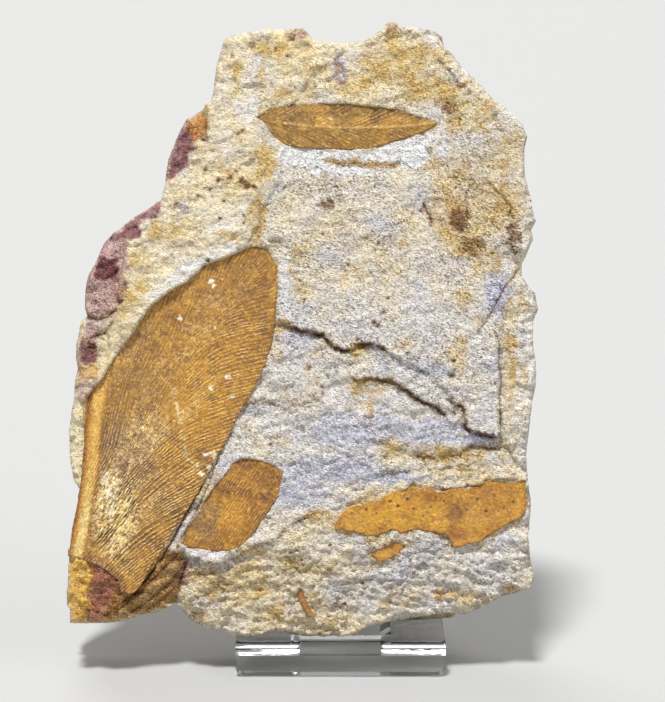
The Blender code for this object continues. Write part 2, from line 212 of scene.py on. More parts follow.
# Broken facets: outline, and three points with depths that the facet's plane goes through
FACETS = [
    ([(444, 46), (452, 50), (480, 80), (496, 101), (480, 98), (462, 84), (448, 68), (437, 54)],
     [(440, 52, 0.4), (484, 99, 0.6), (472, 72, 2.3)]),
    ([(424, 34), (434, 28), (446, 42), (440, 52), (428, 46)],
     [(424, 40, 0.4), (436, 52, 0.5), (444, 40, 2.4)]),
    ([(526, 258), (520, 280), (509, 312), (500, 340), (490, 336), (496, 314), (504, 292),
      (514, 268)],
     [(492, 330, 0.9), (512, 270, 0.9), (515, 300, 1.9)]),
    ([(84, 402), (84, 482), (79, 492), (60, 492), (60, 396)],
     [(84, 410, 1.9), (84, 480, 1.9), (70, 445, 2.8)]),
    ([(96, 258), (90, 275), (89, 310), (82, 345), (80, 400), (60, 400), (60, 258)],
     [(93, 270, 2.6), (84, 340, 2.6), (84, 290, 4.0)]),
    ([(268, 240), (292, 240), (297, 300), (292, 316), (276, 318), (277, 267)],
     [(296, 250, 0.9), (296, 310, 0.9), (278, 280, 1.6)]),
    ([(60, 545), (88, 550), (104, 554), (116, 562), (130, 578), (130, 596), (100, 630), (60, 630)],
     [(95, 572, 2.6), (118, 590, 2.5), (92, 618, 4.6)]),
    ([(60, 548), (86, 554), (92, 578), (88, 590), (88, 605), (80, 624), (60, 626)],
     [(72, 565, 1.9), (88, 575, 2.0), (76, 618, 4.0)]),
    ([(116, 582), (128, 584), (144, 562), (158, 544), (186, 550), (182, 574), (176, 602),
      (160, 616), (124, 626), (98, 628)],
     [(128, 592, 2.6), (170, 556, 2.4), (150, 612, 5.4)]),
]

# Lips: points left to right, lift above the line, drop and groove below it, and reach in pixels
LEDGES = [
    (FIRST_CRACK, 0.2, 0.5, 0.95, 12),
    ([(378, 344), (392, 354), (406, 362), (424, 371), (440, 381)], 0.1, 0.22, 0.08, 9),
    ([(348, 374), (357, 380), (370, 379), (378, 378), (390, 380), (400, 386), (412, 394),
      (424, 402), (435, 406), (442, 411), (450, 419)], 0.25, 0.5, 1.0, 12),
    ([(448, 397), (455, 402), (462, 406), (465, 413), (466, 420), (468, 428), (480, 434),
      (499, 437)], 0.15, 0.45, 0.8, 8),
    ([(405, 455), (425, 456), (440, 457), (460, 452), (475, 445), (485, 447), (502, 448)],
     0.25, 0.3, 0.5, 9),
    ([(160, 553), (178, 556), (192, 557), (205, 561), (222, 562), (240, 555), (254, 545),
      (276, 540), (283, 530), (300, 519), (330, 508)], 0.1, 0.1, 0.3, 7),
    ([(393, 489), (405, 490), (412, 484), (425, 488), (436, 489), (455, 488), (478, 485),
      (485, 480), (500, 479), (524, 479)], 0.25, 0.1, 0.3, 7),
    ([(298, 97), (305, 83), (318, 70), (338, 56), (345, 50)], 0.1, 0.15, 0.08, 7),
    ([(236, 405), (250, 402), (262, 400), (276, 404), (288, 412)], 0.1, 0.2, 0.2, 9),
    ([(180, 560), (205, 575), (235, 572), (262, 566), (300, 570)], 0.1, 0.15, 0.1, 12),
    ([(380, 470), (400, 472), (430, 468), (455, 466), (480, 462)], 0.1, 0.15, 0.2, 8),
]

# Open cracks: points, depth in mm and half width in pixels
GROOVES = [
    ([(483, 178), (496, 190), (505, 200), (515, 212)], 0.5, 1.0),
    ([(423, 203), (426, 209), (429, 215), (432, 224)], 0.75, 1.1),
    ([(207, 108), (207, 122), (206, 140)], 0.4, 1.0),
    ([(494, 330), (500, 345), (498, 362), (501, 380), (499, 398), (501, 418), (500, 437)],
     0.6, 0.9),
    ([(524, 262), (514, 276), (503, 289), (496, 305), (488, 318), (478, 332)], 0.55, 1.1),
    ([(500, 437), (503, 445), (510, 452), (516, 466)], 0.3, 0.9),
    ([(205, 478), (199, 492), (190, 506), (181, 524), (170, 545), (160, 560), (146, 580),
      (134, 594), (120, 604), (106, 616)], 0.95, 1.2),
    ([(222, 452), (214, 466), (210, 482), (203, 498), (195, 514), (186, 532), (177, 546)],
     0.5, 1.0),
    ([(88, 316), (98, 320), (108, 317), (116, 310)], 0.7, 1.3),
    ([(83, 340), (92, 337), (104, 334), (113, 322)], 0.7, 1.3),
    ([(98, 276), (106, 278), (114, 274), (118, 268)], 0.7, 1.5),
    ([(88, 346), (97, 349)], 0.8, 1.8),
    ([(186, 562), (182, 578), (176, 600)], 0.7, 1.6),
    ([(178, 553), (162, 570), (142, 590), (116, 612)], 0.7, 1.1),
    ([(186, 564), (172, 580), (150, 600), (126, 616)], 0.55, 1.2),
    ([(168, 554), (152, 572), (138, 588)], 0.45, 1.0),
    ([(178, 584), (164, 598), (148, 608)], 0.5, 1.2),
]

# Small round pits: x, y, radius in pixels
PITS = [
    (323, 234, 1.1), (379, 243, 1.1), (348, 265, 1.2), (300, 281, 1.2), (304, 300, 1.7),
    (388, 298, 1.1), (384, 312, 1.9), (374, 323, 2.2), (378, 326, 2.0), (408, 353, 1.3),
    (454, 361, 1.4), (451, 376, 2.3), (322, 387, 1.3), (323, 394, 1.2), (271, 444, 1.8),
    (495, 383, 1.3), (276, 51, 1.3), (287, 56, 1.1), (220, 219, 1.4), (244, 216, 1.1),
    (244, 223, 1.2), (155, 217, 1.1), (152, 223, 1.2), (208, 261, 2.0), (178, 547, 2.0),
    (220, 542, 1.4), (452, 398, 2.2), (454, 413, 1.6), (309, 368, 2.0), (372, 412, 1.6),
    (469, 259, 1.2), (232, 56, 1.0), (357, 340, 1.3), (454, 362, 1.2), (219, 180, 1.8),
    (231, 177, 1.6), (241, 181, 2.0), (248, 186, 2.4), (254, 187, 1.6), (210, 190, 1.4),
    (205, 170, 1.3), (224, 201, 1.2), (198, 196, 1.3), (236, 172, 1.2), (268, 121, 1.2),
    (410, 560, 1.3), (330, 545, 1.2), (301, 560, 1.1), (414, 573, 1.5), (362, 583, 1.2),
    (455, 570, 1.1), (390, 602, 1.2), (260, 590, 1.1), (345, 604, 1.1),
]


def between(value, low, high):
    """0 up to low, 1 from high on, and smooth in between."""
    share = np.clip((value - low) / (high - low), 0, 1)
    return share * share * (3 - 2 * share)


def mixed(first, second, share):
    return first + (second - first) * share


def faded(distance, half):
    """1 on a line or spot, falling off beside it over this half width."""
    return np.exp(-((distance / half) ** 2))


def tapered(share, length):
    """0 at both ends of a line and 1 between them; share runs from 0 to 1 along it."""
    return between(share, 0.0, length) * between(1 - share, 0.0, length)


def spread(points, x, y, across, down):
    """How many half widths each point lies from the middle of an oval spot."""
    return np.hypot((points[:, 0] - x) / across, (points[:, 1] - y) / down)


def rotation(angle):
    return np.array([(math.cos(angle), math.sin(angle)), (-math.sin(angle), math.cos(angle))])


SHUFFLE = np.random.default_rng(3).permutation(1024)
SLOPES = np.random.default_rng(5).uniform(-1, 1, (1024, 3))


def lattice_noise(points, seed):
    """Smooth noise between about -1 and 1 at 2-D or 3-D points, with lumps about 1 across."""
    sides = points.shape[1]
    base = np.floor(points)
    offset = points - base
    fade = offset**3 * (offset * (offset * 6 - 15) + 10)
    cell = base.astype(np.int64)
    total = np.zeros(len(points))
    for corner in range(2**sides):
        key = np.full(len(points), seed * 37)
        weight = np.ones(len(points))
        for side in range(sides):
            step = corner >> side & 1
            key = SHUFFLE[(key + cell[:, side] + step) & 1023]
            weight = weight * (fade[:, side] if step else 1 - fade[:, side])
        reach = np.zeros(len(points))
        for side in range(sides):
            reach += (offset[:, side] - (corner >> side & 1)) * SLOPES[key, side]
        total += weight * reach
    return 1.9 * total


def noise(points, size, seed, octaves=1, stretch=(1.0, 1.0, 1.0)):
    """Noise with lumps of this size at 2-D or 3-D points; further octaves are half the size."""
    scaled = points / (np.array(stretch)[: points.shape[1]] * size)
    total = np.zeros(len(points))
    for octave in range(octaves):
        total += 0.5**octave * lattice_noise(scaled * 2**octave + 17.3 * octave, seed + octave)
    return total


def uneven(points, middle, swing, size, seed, octaves, low=0.0, high=1.0):
    """Noise about this middle value, held between a low and a high one."""
    return np.clip(middle + swing * noise(points, size, seed, octaves), low, high)


def to_line(points, line):
    """Distance to an open line, positive above or to its right, and the share of its length."""
    line = np.asarray(line, float)
    lengths = np.linalg.norm(np.diff(line, axis=0), axis=1)
    starts = np.concatenate([[0], np.cumsum(lengths)])
    nearest = np.full(len(points), np.inf)
    side = np.ones(len(points))
    share = np.zeros(len(points))
    for start, end, length, before in zip(line, line[1:], lengths, starts):
        ahead = (end - start) / length
        offset = points - start
        along = np.clip(offset @ ahead, 0, length)
        distance = np.linalg.norm(offset - along[:, None] * ahead, axis=1)
        closer = distance < nearest - 1e-9
        nearest = np.where(closer, distance, nearest)
        cross = ahead[1] * offset[:, 0] - ahead[0] * offset[:, 1]
        side = np.where(closer, np.sign(cross) + (cross == 0), side)
        share = np.where(closer, (before + along) / starts[-1], share)
    return nearest * side, share


def within(points, loop, reach=26.0):
    """Distance to a closed outline in pixels, positive inside it, up to this reach."""
    loop = np.asarray(loop, float)
    order = np.argsort(points[:, 1])
    x, y = points[order, 0], points[order, 1]
    held = np.zeros(len(points), bool)
    nearest = np.full(len(points), reach**2)
    for start, end in zip(loop, np.roll(loop, -1, axis=0)):
        low, high = min(start[1], end[1]), max(start[1], end[1])
        ahead = end - start
        a, b = np.searchsorted(y, (low - reach, high + reach))
        right, down = x[a:b] - start[0], y[a:b] - start[1]
        share = np.clip((right * ahead[0] + down * ahead[1]) / max(ahead @ ahead, 1e-9), 0, 1)
        away = (right - share * ahead[0]) ** 2 + (down - share * ahead[1]) ** 2
        nearest[a:b] = np.minimum(nearest[a:b], away)
        if low < high:
            a, b = np.searchsorted(y, (low, high))
            held[a:b] ^= x[a:b] < start[0] + (y[a:b] - start[1]) * ahead[0] / ahead[1]
    found = np.empty(len(points))
    found[order] = np.where(held, 1, -1) * np.sqrt(nearest)
    return found


def near_line(points, line, reach):
    """Which points could be closer to the line than this."""
    low, high = np.min(line, axis=0) - reach, np.max(line, axis=0) + reach
    return ((points > low) & (points < high)).all(axis=1)


def beside_line(points, line, reach):
    """The points near a line, their distances to it and their shares of its length."""
    chosen = near_line(points, line, reach)
    return (chosen, *to_line(points[chosen], line))


def near_outline(points, loop, reach):
    """within(), worked out only where it can be above -reach."""
    chosen = near_line(points, loop, reach)
    found = np.full(len(points), -FAR)
    found[chosen] = within(points[chosen], loop)
    return found


def covering(points, loop, low, high):
    """0 to 1 across an outline's edge, from low to high pixels inside it."""
    return between(near_outline(points, loop, 1 - low), low, high)


def waved(points, size, reach, seed):
    """The points moved about by noise, so that what is looked up there gets a ragged edge."""
    moves = [noise(points, size, seed, 2), noise(points, size, seed + 9, 2)]
    return points + reach * np.stack(moves, axis=1)


def divided(line, spacing, closed=False):
    """The line's points with evenly spaced ones between them."""
    line = np.asarray(line, float)
    ends = np.roll(line, -1, axis=0) if closed else line[1:]
    points = []
    for start, end in zip(line, ends):
        parts = max(1, round(np.linalg.norm(end - start) / spacing))
        points += [start + (end - start) * i / parts for i in range(parts)]
    return np.array(points if closed else points + [line[-1]])


def ragged(line, spacing, reach, seed, closed=False):
    """The line divided and made uneven, as a broken edge is."""
    fine = divided(line, spacing, closed)
    small = waved(fine, 5, reach, seed) - fine
    large = waved(fine, 14, reach, seed + 3) - fine
    return fine + 0.6 * small + 0.4 * large


# Each leaf's outline, how ragged its edge is in pixels, and its seed
LEAF_EDGES = {
    "big": (BIG_LEAF, 0.9, 11),
    "mid": (MID_LEAF, 1.1, 21),
    "low": (LOW_LEAF, 2.6, 31),
    "chip": (LOW_CHIP, 1.5, 41),
    "top": (TOP_LEAF, 0.7, 51),
    "tiny": (TINY_LEAF, 0.8, 61),
}
LEAVES = {name: ragged(loop, 3.0, reach, seed, True) for name, (loop, reach, seed) in LEAF_EDGES.items()}
LIPS = [(ragged(line, 2.2, 2.3, 70 + i), *rest) for i, (line, *rest) in enumerate(LEDGES)]
CUTS = [(ragged(line, 2.5, 1.3, 90 + i), *rest) for i, (line, *rest) in enumerate(GROOVES)]


def add_lips(points, depth):
    """Raises the stone above each lip, drops it below, and undercuts the lip."""
    for line, lift, drop, groove, reach in LIPS:
        chosen, distance, share = beside_line(points, line, 4 * reach)
        above = np.exp(-np.clip(distance, 0, None) / reach) * between(distance, -0.5, 0.4)
        below = np.exp(-np.clip(-distance, 0, None) / reach) * between(-distance, -0.4, 0.7)
        strength = tapered(share, 0.12) * (0.75 + 0.5 * noise(points[chosen], 18, 300))
        depth[chosen] += strength * (drop * below - lift * above + groove * faded(distance + 1.3, 1.4))
    return depth


def add_cuts(points, depth):
    """Narrow open cracks."""
    for line, deep, half in CUTS:
        chosen, distance, share = beside_line(points, line, 4 * half)
        strength = tapered(share, 0.15) * uneven(points[chosen], 0.8, 0.7, 9, 320, 1, 0.1, None)
        depth[chosen] += strength * deep * faded(distance, half)
    return depth


def add_facets(points, depth):
    """Flat chips and slopes, each through three given points."""
    for i, (loop, corners) in enumerate(FACETS):
        flat = [(x, y, 1) for x, y, _ in corners]
        plane = np.linalg.solve(flat, [level for *_, level in corners])
        share = covering(waved(points, 7, 1.8, 400 + i), loop, -1.6, 1.8)
        depth = mixed(depth, points @ plane[:2] + plane[2], share)
    return depth


def add_bedding(points, depth, where):
    """Thin torn layers, like contour lines, where the stone split unevenly."""
    for size, step, seed in ((52, 0.34, 500), (27, 0.24, 520), (14, 0.13, 530)):
        level = 3.4 * noise(points, size, seed, 3, (1.35, 0.8, 1))
        whole = np.floor(level)
        depth = depth + where * step * (whole + between(level - whole, 0.0, 0.24) - level / 1.6)
    return depth


FLAKE_TURN = rotation(0.35)


def add_flakes(points, depth, where):
    """Overlapping flakes: each comes forward downwards and ends in a thin lip that faces down."""
    for period, size, height, seed in ((11, 21, 0.42, 660), (6, 12, 0.22, 670)):
        step = points[:, 1] / period + 2.2 * noise(points @ FLAKE_TURN, size, seed, 3, (1.5, 1, 1))
        share = step - np.floor(step)
        strength = between(noise(points, 26, seed + 5, 2), -0.5, 0.5)
        depth = depth - where * height * strength * (share - between(share, 0.8, 1.0))
    return depth


def rim_fall(points, rim):
    """How far the face is worn and chipped back near its edge."""
    chips = np.clip(noise(points, 24, 540, 3) + 0.15, 0, None)
    reach = RIM_REACH * (0.55 + 2.2 * chips)
    return RIM_DEPTH * (0.45 + 1.3 * chips) * np.clip(1 - rim / reach, 0, 1) ** 2


def smooth_face_depth(points, rim):
    """The stone's face in mm behind the frontmost plane, before its grain; leaves are left out."""
    depth = np.interp(points[:, 1], FLANK_HEIGHTS, FLANK_DEPTHS)
    edge_points = waved(points, 9, 2.2, 560)
    for loop, level, fall in SHEETS:
        depth = mixed(depth, level, covering(edge_points, loop, -fall, 0.0))
    depth = add_facets(points, depth)
    depth = add_lips(points, depth)
    depth = add_cuts(points, depth)
    depth = add_bedding(points, depth, 0.6 + 0.4 * between(points[:, 1], 320, 420))
    depth += 0.35 * noise(points, 70, 580, 2)
    return depth + rim_fall(points, rim)


def face_depth(points, rim):
    """The stone's face with its grain, which is coarser on the broken flank."""
    depth = smooth_face_depth(points, rim)
    flank = between(points[:, 1], 530, 560)
    plateau = covering(points, PLATEAU, -10, 4)
    leaning = points @ FLAKE_TURN
    depth = add_flakes(points, depth, mixed(1.0, 0.6, plateau) + 0.6 * flank)
    depth += mixed(0.4, 0.25, plateau) * noise(leaning, 13, 600, 2, (1.6, 0.8, 1))
    depth += mixed(0.16, 0.12, plateau) * noise(leaning, 4.2, 620, 2, (1.4, 0.9, 1))
    depth += flank * 0.5 * noise(points, 17, 640, 2, (1.9, 0.8, 1))
    depth += flank * 0.35 - flank * 0.8 * np.abs(noise(points, 10, 650, 2, (1.8, 0.8, 1)))
    for x, y, radius in PITS:
        depth += 0.5 * faded(spread(points, x, y, radius, radius), 1)
    return depth


# Lines on the leaves: the midribs, the fold beside the big leaf's foot and its broken foot
TOP_MIDRIB = [
    (258, 119.5), (280, 123), (310, 126.5), (345, 128), (385, 127.5), (415, 125.5), (437, 122.5),
]
MIDRIB = [
    (104, 380), (98, 400), (94.5, 430), (93, 460), (89, 485), (86, 505), (83, 525), (79, 545),
    (77, 556),
]
FOLD = [(216, 466), (203, 490), (190, 512), (176, 535), (158, 562), (140, 588)]
BROKEN_FOOT = [(88, 562), (98, 565), (108, 572), (118, 580), (121, 592)]


def leaf_level(points, name):
    """A leaf film's surface without its veins."""
    depth = np.full(len(points), LEAF_LEVELS[name])
    depth += 0.18 * noise(points, 45, 700, 2) + 0.05 * noise(points, 8, 720, 2)
    if name == "big":
        depth += big_leaf_shape(points)
    if name == "top":
        distance, _ = to_line(points, TOP_MIDRIB)
        depth += 0.012 * np.clip(np.abs(distance) - 2, 0, None) - 0.12 * faded(distance, 1.3)
    if name == "low":
        depth += 0.1 * noise(points, 20, 740, 2)
    return depth


def big_leaf_shape(points):
    """The raised midrib, the fall to the broken side left of it, and the blade's gentle folds."""
    distance, share = to_line(points, MIDRIB)
    rib = between(8.5 - np.abs(distance), 0, 4) * between(share, 0.0, 0.2)
    beside = faded(distance + 10, 2.0) + faded(distance - 10, 2.0)
    left = np.clip(84 - points[:, 0], 0, None)
    depth = -0.45 * rib + 0.25 * beside * share + 0.035 * left
    depth += 0.6 * between(points[:, 1], 470, 560) * between(points[:, 0], 150, 90)
    fold, along = to_line(points, FOLD)
    return depth + 0.5 * between(along, 0.0, 0.2) * between(fold, -14, -3) * between(fold, 10, -3)


def stone_depth(points, rim):
    """The stone's face, sunk under the leaf films."""
    depth = face_depth(points, rim)
    for name, loop in LEAVES.items():
        share = covering(points, loop, -0.5, 1.2)
        chosen = share > 0
        under = leaf_level(points[chosen], name) + FILM_SINK
        depth[chosen] = mixed(depth[chosen], under, share[chosen])
    return depth


def slab_origin():
    """Where the slab's own origin stands: at its foot, on the middle line."""
    low, high = (np.array(corner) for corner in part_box("stand"))
    return np.array([(low[0] + high[0]) / 2 - STAND_OFFSET, low[1] + SLAB_BACK, SLAB_UP])


ORIGIN = slab_origin()


def turned(local):
    """Points in the slab's own frame (right, back, up in metres) as points in the row's frame."""
    sine, cosine = math.sin(LEAN), math.cos(LEAN)
    x, back, up = np.asarray(local, float).T
    return np.stack([x, back * cosine + up * sine, up * cosine - back * sine], axis=1) + ORIGIN


FRONT = turned([(0, -1, 0)])[0] - ORIGIN


def place(points, depth):
    """Pixels and depths in mm as points in the row's frame, kept above the ledge."""
    back = depth * MM
    real = PHOTO_MIDDLE + (points - PHOTO_MIDDLE) * (1 + back / EYE_DISTANCE)[:, None]
    right = (real[:, 0] - SLAB_FOOT[0]) * PIXEL
    lowest = (LEDGE_TOP - SLAB_UP + back * math.sin(LEAN)) / math.cos(LEAN)
    up = np.maximum((SLAB_FOOT[1] - real[:, 1]) * PIXEL, lowest)
    return turned(np.stack([right, back, up], axis=1))


def staggered(low, high, spacing):
    """A grid of points in alternate rows, each a little off its place so that no row shows."""
    rows = np.arange(low[1], high[1], spacing * math.sqrt(3) / 2)
    columns = np.arange(low[0], high[0], spacing)
    x, y = np.meshgrid(columns, rows)
    x[1::2] += spacing / 2
    points = np.stack([x.ravel(), y.ravel()], axis=1)
    return points + np.random.default_rng(7).uniform(-0.16, 0.16, points.shape) * spacing


def grid_within(loop, spacing, margin=0.6):
    """A staggered grid in a closed outline, clear of its edge by this share of the spacing."""
    grid = staggered(loop.min(axis=0), loop.max(axis=0), spacing)
    return grid[within(grid, loop) > margin * spacing]


def thinned(points, apart):
    """The points less those in the same small cell as an earlier one."""
    _, first = np.unique(np.floor(points / apart).astype(int), axis=0, return_index=True)
    return points[np.sort(first)]


def clear_of(points, taken, apart):
    """Which points lie farther than this from all those taken."""
    cells = {}
    for i, cell in enumerate(map(tuple, np.floor(taken / apart).astype(int))):
        cells.setdefault(cell, []).append(i)
    free = np.ones(len(points), bool)
    for i, (cx, cy) in enumerate(np.floor(points / apart).astype(int)):
        near = [k for dx in (-1, 0, 1) for dy in (-1, 0, 1) for k in cells.get((cx + dx, cy + dy), ())]
        if near and ((taken[near] - points[i]) ** 2).sum(axis=1).min() < apart**2:
            free[i] = False
    return free


def moved_aside(line, offset):
    """An open line moved sideways: up, where it runs to the right."""
    ahead = np.gradient(line, axis=0)
    side = np.stack([ahead[:, 1], -ahead[:, 0]], axis=1)
    return line + offset * side / np.maximum(np.linalg.norm(side, axis=1), 1e-6)[:, None]


def pulled_in(loop, inset):
    """The closed outline moved inwards, by one amount or by one for each point."""
    ahead = np.roll(loop, -3, axis=0) - np.roll(loop, 3, axis=0)
    after = np.roll(loop, -1, axis=0)
    way_round = np.sign((loop[:, 0] * after[:, 1] - loop[:, 1] * after[:, 0]).sum())
    inward = way_round * np.stack([-ahead[:, 1], ahead[:, 0]], axis=1)
    inward /= np.linalg.norm(inward, axis=1)[:, None]
    return loop + np.broadcast_to(inset, len(loop))[:, None] * inward


def detail_points():
    """Points along every step, crack and pit of the stone, for crisp edges."""
    lines = []
    for loop in LEAVES.values():
        fine = divided(loop, 1.7, True)
        lines += [pulled_in(fine, inset) for inset in (-0.6, 1.3)]
    for line, *_ in LIPS:
        lines += [moved_aside(divided(line, 1.6), offset) for offset in (0.6, -0.5, -1.5)]
    for line, _, half in CUTS:
        lines += [moved_aside(divided(line, 1.6), offset) for offset in (-half, 0, half)]
    for x, y, radius in PITS:
        turns = np.linspace(0, 2 * math.pi, 7)[:-1]
        lines.append(np.array([(x, y)]))
        lines.append(np.stack([x + radius * np.cos(turns), y + radius * np.sin(turns)], axis=1))
    return thinned(np.concatenate(lines), 0.85)


def leaf_cover(points):
    """How far inside a leaf each point lies, in pixels."""
    return np.max([near_outline(points, loop, 3) for loop in LEAVES.values()], axis=0)


def face_points(outline):
    """Points on the face: close ones along its details, an even grid, and few under the leaves."""
    detail = detail_points()
    detail = detail[within(detail, outline) > 1.2]
    grid = grid_within(outline, STONE_GRID, 0.62)
    grid = grid[leaf_cover(grid) < 2.2]
    grid = grid[clear_of(grid, detail, 0.8 * STONE_GRID)]
    hidden = grid_within(outline, HIDDEN_GRID, 0)
    hidden = hidden[leaf_cover(hidden) > 4.5]
    face = np.concatenate([detail, grid, hidden])
    return face[within(face, outline) > 1.0]


def filled(ring, points):
    """Triangles over a closed ring and the points in it; the ring's points come first."""
    flat = [Vector(p) for p in np.concatenate([ring, points])]
    edges = [(i, (i + 1) % len(ring)) for i in range(len(ring))]
    found = geometry.delaunay_2d_cdt(flat, edges, [], 1, 1e-7)
    source = np.array([origin[0] for origin in found[3]])
    return source[np.array(found[2])]


def normals_of(places, faces):
    corners = places[faces]
    return np.cross(corners[:, 1] - corners[:, 0], corners[:, 2] - corners[:, 0])


def facing(places, faces, direction):
    """The faces turned, all together, so that on the whole they face this way."""
    return faces if (normals_of(places, faces) @ direction).sum() > 0 else faces[:, ::-1]


def band(places, first, second, count, middle):
    """Triangles between two rings of count points that start at these indices, facing outwards."""
    i = np.arange(count)
    j = (i + 1) % count
    lower = np.stack([first + i, second + i, first + j], axis=1)
    upper = np.stack([first + j, second + i, second + j], axis=1)
    faces = np.concatenate([lower, upper])
    away = places[faces].mean(axis=1) - middle
    return faces if (normals_of(places, faces) * away).sum() > 0 else faces[:, ::-1]


def to_linear(colours):
    """Colours from 0 to 255 as linear light."""
    share = np.clip(np.asarray(colours, float), 0, 255) / 255
    return np.where(share <= 0.04045, share / 12.92, ((share + 0.055) / 1.055) ** 2.4)


def put(name, data):
    """A new object with this data, in the scene."""
    made = bpy.data.objects.new(name, data)
    bpy.context.scene.collection.objects.link(made)
    return made


def piece(name, places, faces, layers, finish):
    """An object from points and triangles, with colour and value layers on its points."""
    data = bpy.data.meshes.new(name)
    data.from_pydata(places.tolist(), [], faces.tolist())
    for key, values in layers.items():
        if values.ndim == 2:
            layer = data.attributes.new(key, "FLOAT_COLOR", "POINT")
            layer.data.foreach_set("color", np.c_[values, np.ones(len(values))].ravel())
        else:
            layer = data.attributes.new(key, "FLOAT", "POINT")
            layer.data.foreach_set("value", values)
    data.polygons.foreach_set("use_smooth", np.ones(len(data.polygons), bool))
    data.materials.append(finish)
    made = put(name, data)
    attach(made, "root")
    return made


def bed_number(points, depth):
    """Which of the stone's thin beds lies at this place and depth."""
    return np.floor(depth / BED_THICKNESS + 1.2 * noise(points, 90, 805, 2))


def smoothed(loop, reach):
    """The closed outline with each point moved to the mean of its neighbours' places."""
    return np.mean([np.roll(loop, i, axis=0) for i in range(-reach, reach + 1)], axis=0)


def set_down(loop):
    """The back edge with its heel lowered, where the slab also stands on the right prong."""
    heel = between(loop[:, 0], HEEL[0] - 6, HEEL[0]) * between(-loop[:, 0], -HEEL[1] - 6, -HEEL[1])
    heel *= loop[:, 1] > 560
    return np.stack([loop[:, 0], mixed(loop[:, 1], HEEL_FOOT, heel)], axis=1)


def side_inset(rim_ring, depth, share):
    """How far the broken side is set in from the rim at this depth, bed by bed, in pixels."""
    along = np.c_[rim_ring, depth * PER_MM]
    bed = np.c_[rim_ring, bed_number(rim_ring, depth) * 37]
    torn = uneven(bed, 0.45, 1.1, 40, 800, 3, 0, 1.3)
    broken = np.clip(0.3 + noise(along, 70, 820, 2, (1, 1, 0.8)), 0, 1.2)
    grain = 0.5 + 0.6 * noise(along, 7, 840, 3)
    inset = (5.6 * torn + 4.4 * broken + 2.0 * grain) * between(share, 0.0, 0.1)
    return inset * mixed(1.0, 0.45, between(share, 0.8, 1.0))


def side_rings(rim_ring, rim_depth):
    """Rings from the rim to the back's edge: torn layers, set in from the outline."""
    back_ring = set_down(pulled_in(smoothed(rim_ring, 9), BACK_CHAMFER * PER_MM))
    rings = []
    for k in range(1, SIDE_RINGS + 1):
        share = (k / SIDE_RINGS) ** 0.92
        depth = rim_depth + (THICKNESS - BACK_CHAMFER - rim_depth) * share
        ring = mixed(rim_ring, back_ring, between(share, 0.7, 1.0) * 0.2)
        ring = pulled_in(ring, side_inset(rim_ring, depth, share))
        rough = 0.25 * noise(np.c_[rim_ring, depth * PER_MM], 12, 860, 2)
        rings.append((ring, depth + rough * between(share, 0, 0.2)))
    flat = np.ones(len(rim_ring))
    rings.append((mixed(rim_ring, back_ring, 0.6), CHAMFER_MIDDLE * flat))
    rings.append((back_ring, BACK_PLANE * flat))
    return rings


def back_hollows(points):
    """How deep the back is split away, in mm: broad steps of thin beds with a rough grain."""
    level = 1.6 + 2.2 * noise(points, 75, 880, 4)
    steps = np.floor(level) + between(level - np.floor(level), 0.0, 0.16)
    rough = 0.3 * noise(points, 14, 890, 3) + 0.25 * np.abs(noise(points, 26, 895, 3))
    return np.clip(0.45 * steps + rough, 0.05, 2.6)


def build_stone(finish):
    """The slab as one closed stone: face, torn sides and rough back."""
    outline = ragged(OUTLINE, RIM_STEP, 0.8, 150, True)
    count = len(outline)
    face = face_points(outline)
    rim_depth = stone_depth(outline, np.zeros(count))
    rings = side_rings(outline, rim_depth)
    back_ring = rings[-1][0]
    back = grid_within(back_ring, BACK_GRID)
    hollows = back_hollows(back) * between(within(back, back_ring), 0, 14)
    parts = [(outline, rim_depth), (face, stone_depth(face, within(face, outline)))]
    parts += [*rings, (back, BACK_PLANE - hollows)]
    flat = np.concatenate([points for points, _ in parts])
    depths = np.concatenate([depth for _, depth in parts])
    places = place(flat, depths)

    front_count = count + len(face)
    starts = [0] + [front_count + k * count for k in range(len(rings))]
    middle = places[:count].mean(axis=0)
    front_faces = facing(places, filled(outline, face), FRONT)
    back_faces = facing(places, filled(back_ring, back) + starts[-1], -FRONT)
    sides = [band(places, a, b, count, middle) for a, b in zip(starts, starts[1:])]
    faces = np.concatenate([front_faces, *sides, back_faces])
    made = piece("slab_stone", places, faces, stone_layers(flat, depths, front_count), finish)
    smooth = np.ones(len(faces), bool)
    smooth[len(front_faces) : -len(back_faces)] = False
    made.data.polygons.foreach_set("use_smooth", smooth)
    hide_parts("slab")


def build_film(name, finish):
    """A leaf's film: its relief above, a skirt round it and a flat underside inside the stone."""
    outline = divided(LEAVES[name], LEAF_EDGE_STEP, True)
    count = len(outline)
    stone = face_depth(outline, np.full(count, FAR))
    outline = pulled_in(outline, -1.6 * between(leaf_level(outline, name) - stone, 0.05, 0.35))
    top = np.concatenate([outline, grid_within(outline, LEAF_GRID)])
    depth, layers = leaf_surface(top, name)
    under = np.concatenate([pulled_in(outline, 0.5), grid_within(outline, HIDDEN_GRID)])
    under_depth = leaf_level(under, name) + FILM_THICKNESS
    places = np.concatenate([place(top, depth), place(under, under_depth)])
    upper = facing(places, filled(outline, top[count:]), FRONT)
    skirt = band(places, 0, len(top), count, places[:count].mean(axis=0))
    lower = facing(places, filled(under[:count], under[count:]) + len(top), -FRONT)
    beneath = np.concatenate([np.arange(count), np.zeros(len(under) - count, int)])
    layers = {key: np.concatenate([values, values[beneath]]) for key, values in layers.items()}
    made = piece("leaf_" + name, places, np.concatenate([upper, skirt, lower]), layers, finish)
    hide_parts("slab")


